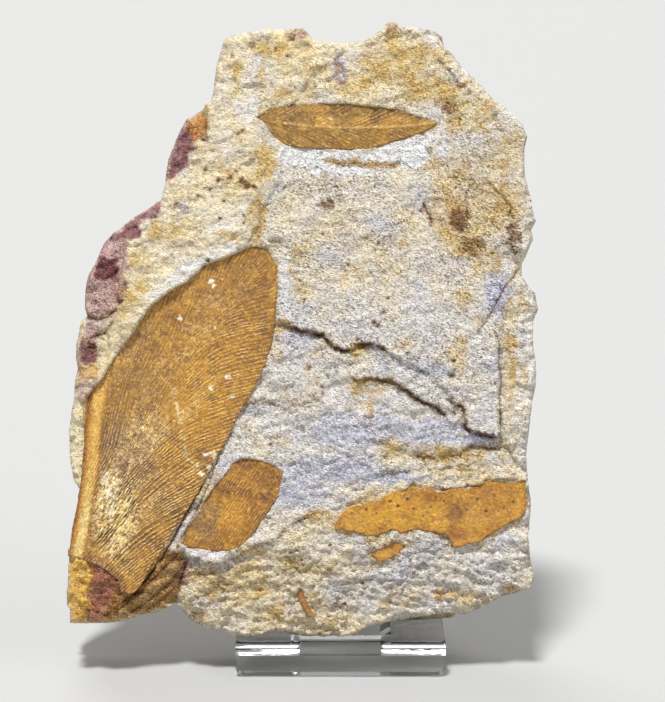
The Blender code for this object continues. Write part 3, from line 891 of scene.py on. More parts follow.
# Colours, from 0 to 255
WHITE = (252, 252, 252)
PALE = (234, 228, 222)
CREAM = (255, 232, 178)
SAND = (208, 184, 140)
LILAC = (186, 189, 214)
OCHRE = (212, 172, 102)
RUST = (116, 80, 50)
UMBER = (86, 50, 18)
ORANGE = (190, 118, 50)
MAROON = (104, 56, 62)
HEMATITE = (140, 92, 98)
MAUVE = (192, 152, 152)
BRICK = (156, 98, 76)
GOLD = (240, 182, 92)
DUST = (236, 226, 204)
BED_GREY = (206, 204, 208)
GLINT = (272, 268, 276)

# Stains: x, y, half width, half height, strength
OCHRE_STAINS = [
    (300, 45, 20, 10, .6), (275, 45, 35, 14, .6), (262, 80, 5, 22, .9), (238, 75, 3, 16, .8),
    (236, 90, 4, 5, .8), (300, 70, 40, 6, .5), (285, 97, 22, 7, .6), (310, 90, 12, 12, .5),
    (350, 75, 12, 20, .4), (400, 60, 50, 28, .8), (430, 88, 45, 24, .8), (350, 84, 30, 12, .6),
    (470, 115, 30, 22, .7), (500, 150, 25, 30, .6), (500, 205, 30, 30, .8), (458, 205, 30, 45, .8),
    (465, 238, 30, 22, .8), (490, 262, 18, 14, .8), (440, 165, 20, 10, .5),
    (205, 150, 30, 24, .35), (232, 160, 30, 26, .4), (264, 168, 11, 28, .95),
    (257, 215, 9, 30, 1.0), (246, 244, 12, 8, .8), (165, 232, 18, 12, .8), (140, 262, 12, 20, .7),
    (130, 300, 14, 30, .6), (120, 330, 15, 20, .6), (205, 238, 40, 8, .4), (230, 255, 20, 6, .5),
    (300, 270, 10, 40, .45), (330, 225, 30, 25, .35), (400, 245, 14, 8, .6),
    (350, 260, 60, 30, .25), (372, 387, 22, 10, .8), (368, 408, 6, 14, .8), (357, 350, 10, 6, .9),
    (283, 325, 8, 10, .8), (275, 345, 8, 20, .5), (262, 370, 8, 20, .5), (300, 400, 25, 15, .4),
    (282, 438, 12, 10, .5), (310, 355, 20, 6, .3), (305, 367, 6, 4, .8), (462, 297, 9, 10, .7),
    (460, 352, 8, 25, .7), (478, 322, 6, 10, .5), (400, 345, 12, 4, .6), (410, 335, 15, 6, .4),
    (392, 448, 20, 12, .6), (450, 454, 50, 9, .85), (500, 450, 12, 12, .7), (470, 475, 40, 12, .6),
    (365, 495, 20, 10, .6), (318, 516, 20, 6, .8), (510, 352, 7, 60, .85), (525, 300, 10, 15, .6),
    (525, 360, 8, 30, .4), (250, 555, 40, 10, .45), (280, 560, 60, 18, .38),
    (240, 585, 50, 25, .45), (330, 560, 50, 20, .28), (300, 610, 60, 20, .35),
    (270, 615, 15, 8, .8), (205, 575, 20, 8, .7), (445, 595, 15, 7, .95), (510, 587, 8, 4, .9),
    (480, 600, 30, 8, .6), (400, 600, 30, 12, .4), (375, 540, 12, 6, .8), (350, 530, 40, 6, .5),
    (195, 620, 20, 8, .5),
]
WHITE_STAINS = [
    (292, 155, 11, 7, .9), (342, 156, 22, 6, .9), (403, 152, 26, 15, .9), (443, 150, 6, 8, .8),
    (316, 170, 14, 5, .7), (354, 172, 24, 5, .7), (286, 280, 7, 35, .7), (432, 42, 10, 8, .7),
    (462, 75, 18, 14, .6), (506, 266, 7, 9, .9), (248, 110, 14, 15, .6), (220, 226, 15, 8, .5),
    (225, 470, 12, 8, .6), (222, 556, 28, 6, .8),
]
# Lilac spots are partly the stone's lilac tone and partly painted bluish shade: in hollows, in bands
# across the lower sheet and beside the diagonal groove.
LILAC_AND_SHADE_SPOTS = [
    (350, 430, 60, 20, .6), (420, 430, 60, 14, .5), (330, 470, 60, 14, .6), (390, 478, 40, 6, .8),
    (300, 490, 30, 20, .5), (480, 438, 20, 8, .8), (440, 440, 60, 6, .6), (400, 360, 30, 10, .4),
    (430, 370, 30, 8, .5), (250, 410, 20, 8, .5), (300, 335, 30, 8, .5), (497, 292, 12, 24, .95),
    (470, 65, 12, 12, .5), (380, 580, 30, 10, .4), (500, 540, 20, 10, .4), (420, 560, 30, 15, .4),
    (210, 600, 20, 10, .5), (225, 565, 20, 6, .6), (182, 208, 12, 6, .5), (340, 70, 8, 16, .7),
]
RUST_STAINS = [
    (328, 205, 9, 6, .9), (340, 212, 6, 3, .7), (424, 210, 4, 8, .7), (430, 221, 3, 8, .7),
    (459, 220, 14, 15, .9), (472, 246, 15, 12, .75), (452, 176, 6, 4, .8), (450, 108, 9, 7, .8),
    (435, 100, 6, 4, .7), (513, 238, 9, 19, .85), (337, 185, 3, 6, .9), (240, 132, 8, 4, .9),
    (245, 185, 8, 4, .9), (178, 207, 8, 5, .7), (225, 180, 14, 3, .6), (255, 155, 6, 6, .7),
    (340, 164, 20, 3, .7), (394, 165, 7, 3, .7), (312, 154, 8, 4, .6), (431, 150, 3, 10, .6),
    (272, 77, 6, 3, .4), (205, 188, 3, 2, .9), (219, 180, 3, 2, .95), (231, 177, 3, 2, .9),
    (241, 180, 4, 2, .95), (247, 185, 4, 3, .95), (254, 187, 3, 2, .9), (205, 138, 5, 4, .7),
    (212, 172, 8, 3, .6),
]
GRIT_ZONES = [
    (222, 168, 40, 30, .22), (470, 120, 30, 30, .3), (480, 190, 45, 60, .38),
    (440, 75, 40, 30, .25), (255, 215, 14, 30, .35), (260, 600, 90, 35, .22),
    (430, 600, 80, 22, .25), (450, 460, 60, 14, .35), (390, 545, 60, 16, .35),
    (120, 300, 12, 30, .35), (200, 590, 40, 24, .3),
]

# How rough and creased each zone is, and how much shade is painted into its grain and creases
GRAIN_AND_SHADE_ZONES = [
    (LOWER_SHEET, .56), (MIDDLE_SHEET, .74), (PLATEAU, .75), (UPPER_RIGHT, .54), (UPPER_LEFT, .36),
    ([(504, 290), (545, 270), (545, 480), (516, 470)], .6),
    ([(60, 250), (84, 250), (84, 300), (78, 350), (84, 400), (84, 500), (60, 500)], .35),
    ([(60, 545), (92, 548), (130, 580), (100, 630), (60, 630)], .45),
]

# How cream each zone is
CREAM_ZONES = [
    (UPPER_LEFT, .62), (UPPER_RIGHT, .6), (PLATEAU, .3), (MIDDLE_SHEET, .1), (LOWER_SHEET, .05),
    (SCARP_GROUND, .35),
    ([(330, 530), (540, 500), (540, 610), (400, 630), (330, 600)], .15),
    ([(504, 300), (545, 270), (545, 480), (516, 470)], .25),
]

# Parts of the face with a colour of their own: outline, colour, strength
COLOUR_PATCHES = [
    ([(186, 116), (192, 128), (195, 140), (193, 150), (188, 165), (180, 173), (165, 182),
      (156, 190), (158, 150), (170, 125)], HEMATITE, .95),
    ([(184, 118), (206, 104), (208, 135), (195, 142), (190, 130)], ORANGE, .8),
    ([(110, 240), (135, 214), (164, 196), (160, 214), (143, 222), (140, 238), (126, 240)],
     HEMATITE, .9),
    ([(104, 232), (128, 238), (129, 270), (122, 283), (116, 312), (98, 321), (76, 318), (84, 262)],
     MAUVE, .85),
    ([(98, 256), (116, 258), (118, 276), (104, 282), (94, 276)], MAROON, .85),
    ([(80, 320), (98, 321), (104, 334), (94, 341), (76, 342)], MAUVE, .8),
    ([(76, 341), (97, 341), (98, 362), (76, 364)], MAROON, .8),
    ([(76, 364), (100, 364), (98, 379), (74, 380)], ORANGE, .55),
    ([(72, 379), (99, 378), (98, 392), (86, 402), (72, 402)], MAUVE, .55),
    ([(76, 262), (88, 262), (88, 316), (80, 345), (77, 402), (84, 402), (84, 492), (60, 492),
      (60, 262)], (255, 238, 190), 1.0),
    ([(86, 556), (110, 566), (124, 584), (124, 598), (104, 624), (86, 626), (88, 602)], BRICK, .95),
    ([(60, 545), (92, 556), (93, 578), (88, 592), (89, 606), (84, 630), (60, 630)], GOLD, 1.0),
    ([(118, 586), (135, 586), (158, 546), (184, 552), (184, 584), (172, 606), (140, 618),
      (98, 628)], (176, 132, 74), .85),
    ([(240, 248), (217, 258), (195, 272), (171, 288), (152, 302), (145, 297), (166, 277),
      (190, 261), (214, 250), (232, 244)], WHITE, .75),
    ([(281, 146), (300, 149), (340, 152), (375, 150), (400, 143), (430, 131), (438, 140),
      (428, 152), (424, 166), (404, 171), (392, 162), (368, 170), (350, 171), (340, 180),
      (324, 173), (314, 166), (286, 166), (278, 160)], WHITE, .95),
    ([(326, 158), (346, 159), (400, 162), (398, 168), (372, 168), (346, 166), (326, 163)],
     (186, 150, 104), .95),
    ([(214, 468), (224, 474), (192, 542), (180, 548)], SAND, .5),
    ([(180, 560), (195, 560), (188, 584), (178, 590)], HEMATITE, .5),
    ([(526, 284), (542, 300), (540, 345), (542, 385), (536, 430), (532, 490), (519, 470),
      (525, 430), (529, 385), (525, 340)], WHITE, .6),
    ([(284, 26), (308, 26), (312, 38), (286, 36)], HEMATITE, .5),
    ([(384, 20), (402, 20), (400, 32), (386, 32)], (150, 100, 70), .7),
    ([(334, 60), (343, 64), (346, 76), (347, 86), (338, 84), (335, 72)], (150, 112, 98), .8),
    ([(338, 70), (343, 72), (345, 82), (340, 80)], WHITE, .8),
    ([(124, 272), (128, 280), (128, 292), (118, 308), (116, 296), (122, 284)], MAROON, .6),
]

# How far each leaf stains the stone round it
LEAF_HALOS = {"low": 0.5, "mid": 0.15, "big": 0.3, "top": 0.3, "chip": 0.6}


def tinted(colour, tint, share):
    return colour + (np.asarray(tint, float) - colour) * share[:, None]


def plain(points, colour):
    """One colour for all the points."""
    return np.tile(np.array(colour, float), (len(points), 1))


def stain(points, spots, seed):
    """How strongly the strongest of these soft, ragged spots covers each point."""
    moved = waved(points, 12, 4.0, seed)
    cover = np.zeros(len(points))
    for x, y, across, down, strength in spots:
        chosen = (np.abs(moved[:, 0] - x) < 1.5 * across) & (np.abs(moved[:, 1] - y) < 1.5 * down)
        out = spread(moved[chosen], x, y, across, down)
        cover[chosen] = np.maximum(cover[chosen], strength * between(1.45 - out, 0, 1.0))
    return cover


def grained(cover, points, seed, harsh):
    """A cover broken into grains: faint cover gives scattered spots, full cover stays full."""
    spots = 0.7 * noise(points, 6.0, seed, 2) + 0.6 * noise(points, 2.6, seed + 5, 1)
    return between(cover * 1.15 + harsh * spots * between(cover, 0, 0.3), 0.05, 1.0)


def line_shade(points):
    """How dark and brown the stone is along its lips and cracks: painted shade under the lips and in the
    cracks, with their brown stain.
    """
    shade = np.zeros(len(points))
    for line, _, _, groove, _ in LIPS:
        chosen, distance, share = beside_line(points, line, 8)
        dark = tapered(share, 0.1) * faded(distance + 1.0, 2.3) * min(1.0, groove * 1.4)
        dark *= uneven(points[chosen], 0.9, 0.8, 9, 335, 2, 0.15)
        shade[chosen] = np.maximum(shade[chosen], dark)
    for line, deep, half in CUTS:
        chosen, distance, _ = beside_line(points, line, 8)
        shade[chosen] = np.maximum(shade[chosen], min(1.0, deep) * faded(distance, half))
    return shade


def pit_shade(points):
    return np.max([faded(spread(points, x, y, radius, radius), 1) for x, y, radius in PITS], axis=0)


def ground_colours(points):
    """The bare stone from pale to cream, with lilac areas that are partly painted bluish shade, white
    areas, and how cream it is.
    """
    soft = waved(points, 26, 9.0, 900)
    cream = np.full(len(points), 0.5)
    for loop, amount in CREAM_ZONES:
        cream = mixed(cream, amount, covering(soft, loop, -12, 8))
    cream = np.clip(cream + 0.35 * noise(points, 34, 910, 4), 0, 1)
    colour = tinted(plain(points, PALE), CREAM, cream)
    colour = tinted(colour, LILAC, between(noise(points, 40, 920, 3), 0.1, 0.9) * 0.35 * (1 - cream))
    # Lilac spots, partly painted bluish shade.
    lilac = grained(stain(points, LILAC_AND_SHADE_SPOTS, 930), points, 931, 0.4)
    white = grained(stain(points, WHITE_STAINS, 960), points, 961, 0.5)
    return tinted(tinted(colour, LILAC, 0.85 * lilac), WHITE, white), cream


def ochre_cover(points, cream):
    """How ochre the stone is: in spots, round the leaves and towards its foot."""
    ochre = stain(points, OCHRE_STAINS, 940)
    patchy = noise(points, 20, 945, 4)
    ochre = ochre * (0.75 + 0.5 * patchy) + 0.25 * between(patchy, 0.0, 0.9) * (0.25 + cream)
    for name, amount in LEAF_HALOS.items():
        halo = covering(points, LEAVES[name], -10, -1)
        ochre = np.maximum(ochre, amount * halo * (0.8 + 0.6 * patchy))
    return ochre + 0.1 * between(points[:, 1], 535, 570) * between(-points[:, 0], -420, -330)


def front_colours(points):
    """The face's colours and its ochre and brown stains, whose edges the material breaks up; painted
    shade and brown stain darken its lips, cracks and pits.
    """
    colour, cream = ground_colours(points)
    ochre = ochre_cover(points, cream)
    rust = np.maximum(stain(points, RUST_STAINS, 970), stain(points, GRIT_ZONES, 972))
    rust += 0.35 * between(noise(points, 13, 975, 4), 0.35, 1.0) * ochre
    ragged_edges = waved(points, 8, 3.0, 980)
    for i, (loop, tint, amount) in enumerate(COLOUR_PATCHES):
        cover = covering(ragged_edges, loop, -1.5, 2.0) * amount
        cover *= uneven(points, 0.95, 0.25, 9, 990 + i, 3)
        colour = tinted(colour, tint, cover)
        ochre = ochre * (1 - 0.8 * cover)
        rust = mixed(rust, 0.25, cover)
    # Painted shade and brown stain along the lips and cracks, and dark brown in the pits.
    lines = np.maximum(0.85 * line_shade(points), pit_shade(points))
    return tinted(colour, UMBER, lines), np.clip(ochre, 0, 1), np.clip(rust, 0, 1)


def grain_and_shade_amount(points):
    """How strong the stone's grain and creases are at each point of the face, and the shade painted into
    them.
    """
    soft = waved(points, 22, 6.0, 1400)
    amount = np.full(len(points), 0.6)
    for loop, level in GRAIN_AND_SHADE_ZONES:
        amount = mixed(amount, level, covering(soft, loop, -9, 5))
    return amount * (1 + 0.35 * noise(points, 40, 1410, 2))


def side_colours(points, depth):
    """The broken sides' and the back's colours and stains: bedded and dusty."""
    solid = np.c_[points, depth * PER_MM]
    beds = noise(np.c_[points * 0.25, bed_number(points, depth) * 41], 15, 1000, 3)
    colour = tinted(plain(points, DUST), BED_GREY, 0.7 * between(-beds, 0.1, 0.7))
    colour = tinted(colour, SAND, 0.6 * between(beds, 0.1, 0.8))
    colour = tinted(colour, CREAM, 0.5 * between(noise(solid, 60, 1010, 3), -0.1, 0.6))
    x, y = points.T
    left = between(170 - x, 0, 60) * between(y, 90, 130) * between(420 - y, 0, 60)
    colour = tinted(colour, HEMATITE, 0.75 * left * between(noise(solid, 20, 1040, 3), -0.5, 0.1))
    streak = noise(solid, 22, 1020, 4, (2.2, 2.2, 0.5))
    ochre = 0.3 * between(beds, 0.2, 0.8) + 0.75 * between(streak, 0.15, 1.0)
    rust = 0.8 * between(streak + 0.4 * noise(solid, 9, 1030, 2), 0.7, 1.3)
    return colour, np.clip(ochre, 0, 0.9), rust


def stone_layers(points, depth, front_count):
    """Colour and stain layers for the whole stone; the face's points come first."""
    face, rest = points[:front_count], points[front_count:]
    near_edge = side_colours(face, depth[:front_count])
    sides = side_colours(rest, depth[front_count:])
    share = 0.5 * between(within(face, OUTLINE), 6, 0)
    joined = []
    for inner, outer, side in zip(front_colours(face), near_edge, sides):
        blend = share[:, None] if inner.ndim == 2 else share
        joined.append(np.concatenate([mixed(inner, outer, blend), side]))
    grain = np.concatenate([grain_and_shade_amount(face), np.full(len(rest), 0.8)])
    return {"tone": to_linear(joined[0]), "ochre": joined[1], "rust": joined[2], "grain": grain}


# The big leaf's veins: x, y and direction in degrees, anticlockwise from the right
VEIN_DIRECTIONS = [
    (110, 545, 50), (125, 520, 48), (105, 500, 60), (115, 470, 62), (135, 480, 47), (150, 440, 50),
    (145, 460, 45), (170, 440, 38), (170, 470, 33), (185, 500, 25), (160, 520, 28), (150, 550, 35),
    (130, 570, 40), (200, 430, 20), (215, 440, 18), (220, 410, 17), (240, 380, 12), (255, 350, 8),
    (250, 320, 10), (265, 300, 12), (262, 275, 35), (245, 265, 60), (230, 340, 15), (220, 300, 35),
    (205, 330, 40), (190, 360, 48), (195, 390, 38), (170, 400, 55), (150, 400, 68), (130, 400, 78),
    (115, 420, 80), (110, 440, 75), (130, 360, 68), (150, 340, 65), (170, 320, 70), (190, 300, 75),
    (205, 280, 75), (220, 270, 70),
]

# The veins: where the first one starts, how far apart they run in pixels, and how plainly they show
VEIN_SEEDS = {"big": (170, 420), "mid": (235, 505), "top": (350, 120), "low": (430, 510)}
VEIN_SPACING = {"big": 2.7, "mid": 2.7, "top": 2.7, "low": 4.5}
VEIN_STRENGTH = {"big": 1.0, "mid": 0.3, "top": 0.3, "low": 0.05}

# How the veins are traced: the steps in pixels, and the least gaps as shares of the spacing
VEIN_CELL = 1.5
VEIN_STEP = 1.1
VEIN_APART = 0.93
VEIN_END_APART = 0.42
MOST_VEIN_STEPS = 600
LEAST_VEIN_POINTS = 5


def vein_direction(points, name):
    """The unit vector along the veins at each point."""
    if name == "big":
        samples = np.array(VEIN_DIRECTIONS, float)
        away = ((points[:, None, :] - samples[None, :, :2]) ** 2).sum(axis=2)
        weight = 1 / (away + 30) ** 1.5
        turn = np.radians(samples[:, 2])
        angle = np.arctan2(weight @ np.sin(turn), weight @ np.cos(turn))
    elif name == "top":
        distance, _ = to_line(points, TOP_MIDRIB)
        away = np.clip(np.abs(distance) / 20, 0, 1)
        angle = np.sign(distance) * math.radians(16) * (1 + away)
    else:
        angle = math.radians(55 if name == "mid" else 5) + 0.12 * noise(points, 40, 1100)
    return np.stack([np.cos(angle), -np.sin(angle)], axis=1)


class Crowd:
    """Points kept in square cells, so that near ones are found fast."""

    def __init__(self, size):
        self.size = size
        self.cells = {}

    def add(self, point):
        cell = int(point[0] // self.size), int(point[1] // self.size)
        self.cells.setdefault(cell, []).append(point)

    def near(self, x, y, apart):
        """Whether a point lies within this distance, which is at most the cells' size."""
        cx, cy = int(x // self.size), int(y // self.size)
        for i in (cx - 1, cx, cx + 1):
            for j in (cy - 1, cy, cy + 1):
                for px, py in self.cells.get((i, j), ()):
                    if (px - x) ** 2 + (py - y) ** 2 < apart * apart:
                        return True
        return False


def vein_lines(name, spacing):
    """Evenly spaced lines along a leaf's veins. A line ends where it runs up to its neighbour."""
    loop = LEAVES[name]
    low = loop.min(axis=0) - 3
    columns, rows = np.ceil((loop.max(axis=0) + 3 - low) / VEIN_CELL).astype(int)
    x, y = np.meshgrid(low[0] + VEIN_CELL * np.arange(columns), low[1] + VEIN_CELL * np.arange(rows))
    flat = np.stack([x.ravel(), y.ravel()], axis=1)
    ahead = vein_direction(flat, name).reshape(rows, columns, 2).tolist()
    held = (within(flat, loop) > -1).reshape(rows, columns).tolist()
    crowd = Crowd(spacing)

    def cell(x, y):
        return int(round((y - low[1]) / VEIN_CELL)), int(round((x - low[0]) / VEIN_CELL))

    def follow(x, y, way):
        found = []
        i, j = cell(x, y)
        for _ in range(MOST_VEIN_STEPS):
            dx, dy = ahead[i][j]
            x, y = x + way * VEIN_STEP * dx, y + way * VEIN_STEP * dy
            i, j = cell(x, y)
            if not held[i][j] or crowd.near(x, y, VEIN_END_APART * spacing):
                break
            found.append((x, y))
        return found

    lines = []
    waiting = [VEIN_SEEDS[name]]
    while waiting:
        x, y = waiting.pop(0)
        i, j = cell(x, y)
        outside = not (0 <= i < rows and 0 <= j < columns) or not held[i][j]
        if outside or crowd.near(x, y, VEIN_APART * spacing):
            continue
        line = follow(x, y, -1)[::-1] + [(x, y)] + follow(x, y, 1)
        if len(line) < LEAST_VEIN_POINTS:
            crowd.add((x, y))
            continue
        for point in line:
            crowd.add(point)
        lines.append(np.array(line))
        for x, y in line[::4]:
            i, j = cell(x, y)
            dx, dy = ahead[i][j]
            waiting.append((x - spacing * dy, y + spacing * dx))
            waiting.append((x + spacing * dy, y - spacing * dx))
    return lines


def vein_offset(points, name):
    """Signed distance to the nearest vein, in pixels."""
    lines = vein_lines(name, VEIN_SPACING[name])
    spots = np.concatenate([line[:-1] for line in lines])
    ahead = np.concatenate([np.diff(line, axis=0) for line in lines])
    ahead /= np.linalg.norm(ahead, axis=1)[:, None]
    tree = kdtree.KDTree(len(spots))
    for i, (x, y) in enumerate(spots):
        tree.insert((x, y, 0), i)
    tree.balance()
    nearest = np.array([tree.find((x, y, 0))[1] for x, y in points])
    offset = points - spots[nearest]
    across = offset[:, 0] * ahead[nearest, 1] - offset[:, 1] * ahead[nearest, 0]
    beyond = np.clip(np.abs((offset * ahead[nearest]).sum(axis=1)) - 1.0, 0, None)
    return np.where(across < 0, -1, 1) * np.hypot(across, beyond)


SMEAR_STEPS = 3
SMEAR_SIZE = 1.5
SMEAR_SEED = 1270


def smeared(points, name):
    """Fine noise smeared along the veins, between about -1 and 1."""
    total = noise(points, SMEAR_SIZE, SMEAR_SEED)
    for way in (1, -1):
        moved = points
        for _ in range(SMEAR_STEPS):
            moved = moved + way * 1.2 * vein_direction(moved, name)
            total = total + noise(moved, SMEAR_SIZE, SMEAR_SEED)
    return 1.9 * total / math.sqrt(2 * SMEAR_STEPS + 1)


# How much of each colour's light the films give back
LEAF_SHADE = np.array((0.87, 0.86, 0.77))

# Leaf colours, and patches on them: x, y, half width, half height, strength, colour
LEAF_TONES = {
    "big": ((196, 142, 56), (150, 102, 44)),
    "mid": ((172, 116, 34), (130, 84, 32)),
    "low": ((212, 156, 56), (178, 118, 44)),
    "chip": ((200, 146, 66), (168, 112, 44)),
    "top": ((172, 128, 60), (134, 98, 46)),
    "tiny": ((176, 124, 70), (140, 92, 48)),
}
LEAF_PATCHES = {
    "big": [
        (205, 395, 26, 60, .8, (212, 154, 52)), (245, 375, 25, 40, .4, (206, 148, 56)),
        (140, 345, 22, 50, .7, (172, 134, 88)), (190, 280, 26, 16, .7, (212, 160, 78)),
        (235, 262, 26, 12, .5, (206, 150, 66)), (135, 410, 20, 34, .65, (164, 126, 88)),
        (131, 411, 8, 12, .8, (204, 150, 62)), (118, 440, 16, 24, .6, (160, 122, 92)),
        (248, 275, 22, 30, .7, (158, 108, 44)), (268, 338, 8, 10, .7, (150, 96, 36)),
        (222, 290, 22, 24, .5, (170, 118, 50)), (125, 458, 28, 36, .95, (144, 112, 94)),
        # The pale patches at 110, 494 and 124, 524 are painted highlights of the hatched, glinting
        # patch.
        (150, 500, 30, 30, .5, (158, 120, 74)), (110, 494, 8, 26, .95, (250, 240, 236)),
        (124, 524, 10, 24, .95, (262, 234, 150)), (145, 425, 20, 18, .6, (174, 128, 74)),
        (190, 425, 14, 40, .5, (224, 164, 56)), (262, 300, 9, 24, .6, (160, 108, 44)),
        (205, 300, 18, 14, .5, (160, 116, 66)), (155, 375, 16, 26, .5, (166, 122, 72)),
        (160, 350, 26, 30, .4, (180, 126, 52)), (120, 395, 20, 24, .5, (170, 122, 62)),
        (100, 555, 24, 12, .6, (196, 150, 74)), (150, 545, 24, 14, .5, (150, 100, 46)),
        (212, 440, 16, 16, .5, (190, 132, 50)),
    ],
    "mid": [
        (266, 490, 7, 12, .9, (124, 74, 28)), (207, 522, 13, 18, .9, (156, 118, 84)),
        (245, 475, 20, 12, .5, (196, 136, 56)), (232, 515, 14, 20, .8, (222, 158, 54)),
        (258, 470, 18, 6, .4, (150, 96, 36)),
    ],
    "low": [
        (485, 506, 34, 18, .6, (198, 142, 80)), (455, 512, 8, 14, .7, (150, 100, 60)),
        (462, 536, 14, 6, .6, (168, 106, 60)), (395, 512, 36, 14, .7, (232, 172, 58)),
        (350, 520, 14, 8, .5, (224, 176, 96)), (500, 500, 20, 14, .4, (196, 134, 50)),
        (440, 498, 14, 6, .5, (156, 96, 36)), (380, 505, 8, 5, .5, (160, 104, 40)),
    ],
    "top": [
        (290, 126, 24, 14, .5, (140, 98, 42)), (380, 112, 40, 5, .6, (120, 84, 34)),
        (400, 132, 24, 8, .5, (176, 130, 62)), (330, 140, 30, 6, .5, (170, 124, 58)),
        (258, 119, 5, 3, .9, (90, 56, 22)),
    ],
}

# Painted glints, small white highlights on the leaves: x, y, half width, half height
GLINTS = {
    "big": [
        (108, 492, 3, 7), (112, 512, 2, 6), (104, 480, 2, 5), (211, 281, 3, 2), (214, 286, 2, 2),
        (228, 377, 3, 3), (211, 388, 2, 3), (232, 397, 3, 2), (180, 318, 2, 3), (215, 328, 2, 2),
        (214, 456, 2, 5), (210, 467, 3, 3), (203, 474, 4, 2), (198, 466, 2, 3), (205, 455, 3, 1),
    ],
    "top": [(330, 118, 3, 1)],
}

# Small dark pits in the low leaf: x, y
LOW_PITS = [
    (436, 498), (442, 503), (449, 497), (455, 507), (430, 505), (462, 499), (470, 512), (480, 500),
    (415, 507), (423, 514), (405, 500), (395, 508), (388, 502), (376, 512), (368, 508), (489, 512),
    (497, 498), (505, 508), (512, 500), (444, 515), (458, 518), (350, 515),
]

# White lines on the big leaf
WHITE_SEAM = [
    (167, 352), (171, 376), (176, 403), (181, 422), (184, 438), (187, 456), (194, 466), (203, 474),
]
WHITE_CURL = [
    (200, 474), (207, 473.5), (213, 470), (216.5, 463), (216, 456), (211, 453), (205, 455),
]


def vein_strength(points, name):
    """How clearly the veins stand out: on the big leaf, most in the fan that leaves the midrib."""
    strength = uneven(points, 0.85, 0.6, 14, 1220, 3, 0.15, 1.3)
    if name == "big":
        fan, right, hatched = (
            between(1.3 - spread(points, *spot), 0, 0.6)
            for spot in ((150, 500, 60, 85), (235, 385, 50, 80), (114, 515, 18, 40))
        )
        strength *= 0.3 + 0.7 * fan + 0.3 * right + 0.5 * hatched
    return strength * VEIN_STRENGTH[name]


def veined(points, name, colour, depth):
    """The leaf's colour and depth with veins and fine streaks, and the layers that draw them."""
    dark = LEAF_TONES[name][1]
    offset = vein_offset(waved(points, 7, 0.6, 1260), name)
    turn = math.pi * np.clip(offset / VEIN_SPACING[name] * 2, -1, 1)
    strength = vein_strength(points, name)
    shown = 1.0 if name == "big" else 0.55
    smear = smeared(points, name) * (0.5 if name == "low" else 1.0)
    coarse = noise(waved(points, 12, 6, 1285), 9, 1280, 3)
    depth -= 0.12 * (0.5 + 0.5 * np.cos(turn)) * strength + 0.035 * smear + 0.05 * coarse
    colour = tinted(colour, dark, 0.45 * shown * between(-smear, 0.1, 0.9))
    colour = tinted(colour, (236, 196, 112), 0.4 * shown * between(smear, 0.15, 1.0))
    colour = tinted(colour, (220, 168, 70), 0.6 * between(coarse, 0.1, 0.8))
    colour = tinted(colour, (138, 100, 70), 0.6 * shown * between(-coarse, 0.1, 0.8))
    return colour, depth, {"vein_x": np.cos(turn), "vein_y": np.sin(turn), "vein": strength}


def low_leaf_pits(points, colour, depth):
    """Small dark pits of uneven size, each a little off its place."""
    for i, (x, y) in enumerate(LOW_PITS):
        radius = 0.75 + 0.5 * math.cos(4 * i) ** 2
        out = spread(points, x + 3 * math.sin(7 * i), y + 2 * math.sin(5 * i), radius, radius)
        pit = (0.5 + 0.5 * math.sin(3 * i) ** 2) * faded(out, 1)
        depth += 0.15 * pit
        colour = tinted(colour, (62, 32, 12), np.clip(1.4 * pit, 0, 1))
    return colour, depth


def leaf_ground(points, name):
    """A leaf's colours before its veins."""
    pale, dark = LEAF_TONES[name]
    broad = noise(points, 22, 1200, 4)
    colour = tinted(plain(points, pale), dark, 0.85 * between(broad, 0.0, 0.7))
    colour = tinted(colour, (230, 176, 78), 0.6 * between(-broad, 0.1, 0.8))
    moved = waved(points, 16, 6.0, 1210)
    for x, y, across, down, strength, tone in LEAF_PATCHES.get(name, ()):
        out = spread(moved, x, y, across, down)
        colour = tinted(colour, tone, strength * between(1.5 - out, 0, 1.0))
    return colour


def leaf_surface(points, name):
    """A film's depth with its veins, and its colour layers."""
    depth = leaf_level(points, name)
    colour = leaf_ground(points, name)
    layers = {key: np.zeros(len(points)) for key in ("vein_x", "vein_y", "vein")}
    if name in VEIN_SPACING:
        colour, depth, layers = veined(points, name, colour, depth)
    depth += 0.04 * noise(points, 3.0, 1230, 2)
    if name == "big":
        colour = big_leaf_tones(points, colour)
    if name == "top":
        distance, share = to_line(points, TOP_MIDRIB)
        colour = tinted(colour, (222, 180, 110), 0.9 * faded(distance, 1.1) * between(share, 0.02, 0.2))
    if name == "low":
        colour, depth = low_leaf_pits(points, colour, depth)
    # Painted glints: small white highlights on the film.
    glint_spots = waved(points, 5, 2.2, 1250)
    for x, y, across, down in GLINTS.get(name, ()):
        out = spread(glint_spots, x, y, across, down)
        colour = tinted(colour, GLINT, 0.9 * between(1.2 - out, 0, 0.5))
    edge = np.abs(within(points, LEAVES[name]))
    colour = tinted(colour, LEAF_TONES[name][1], 0.45 * between(3.0 - edge, 0, 3.0))
    return depth, {"tone": to_linear(LEAF_SHADE * colour), **layers}


STROKE_TURN = rotation(0.96)


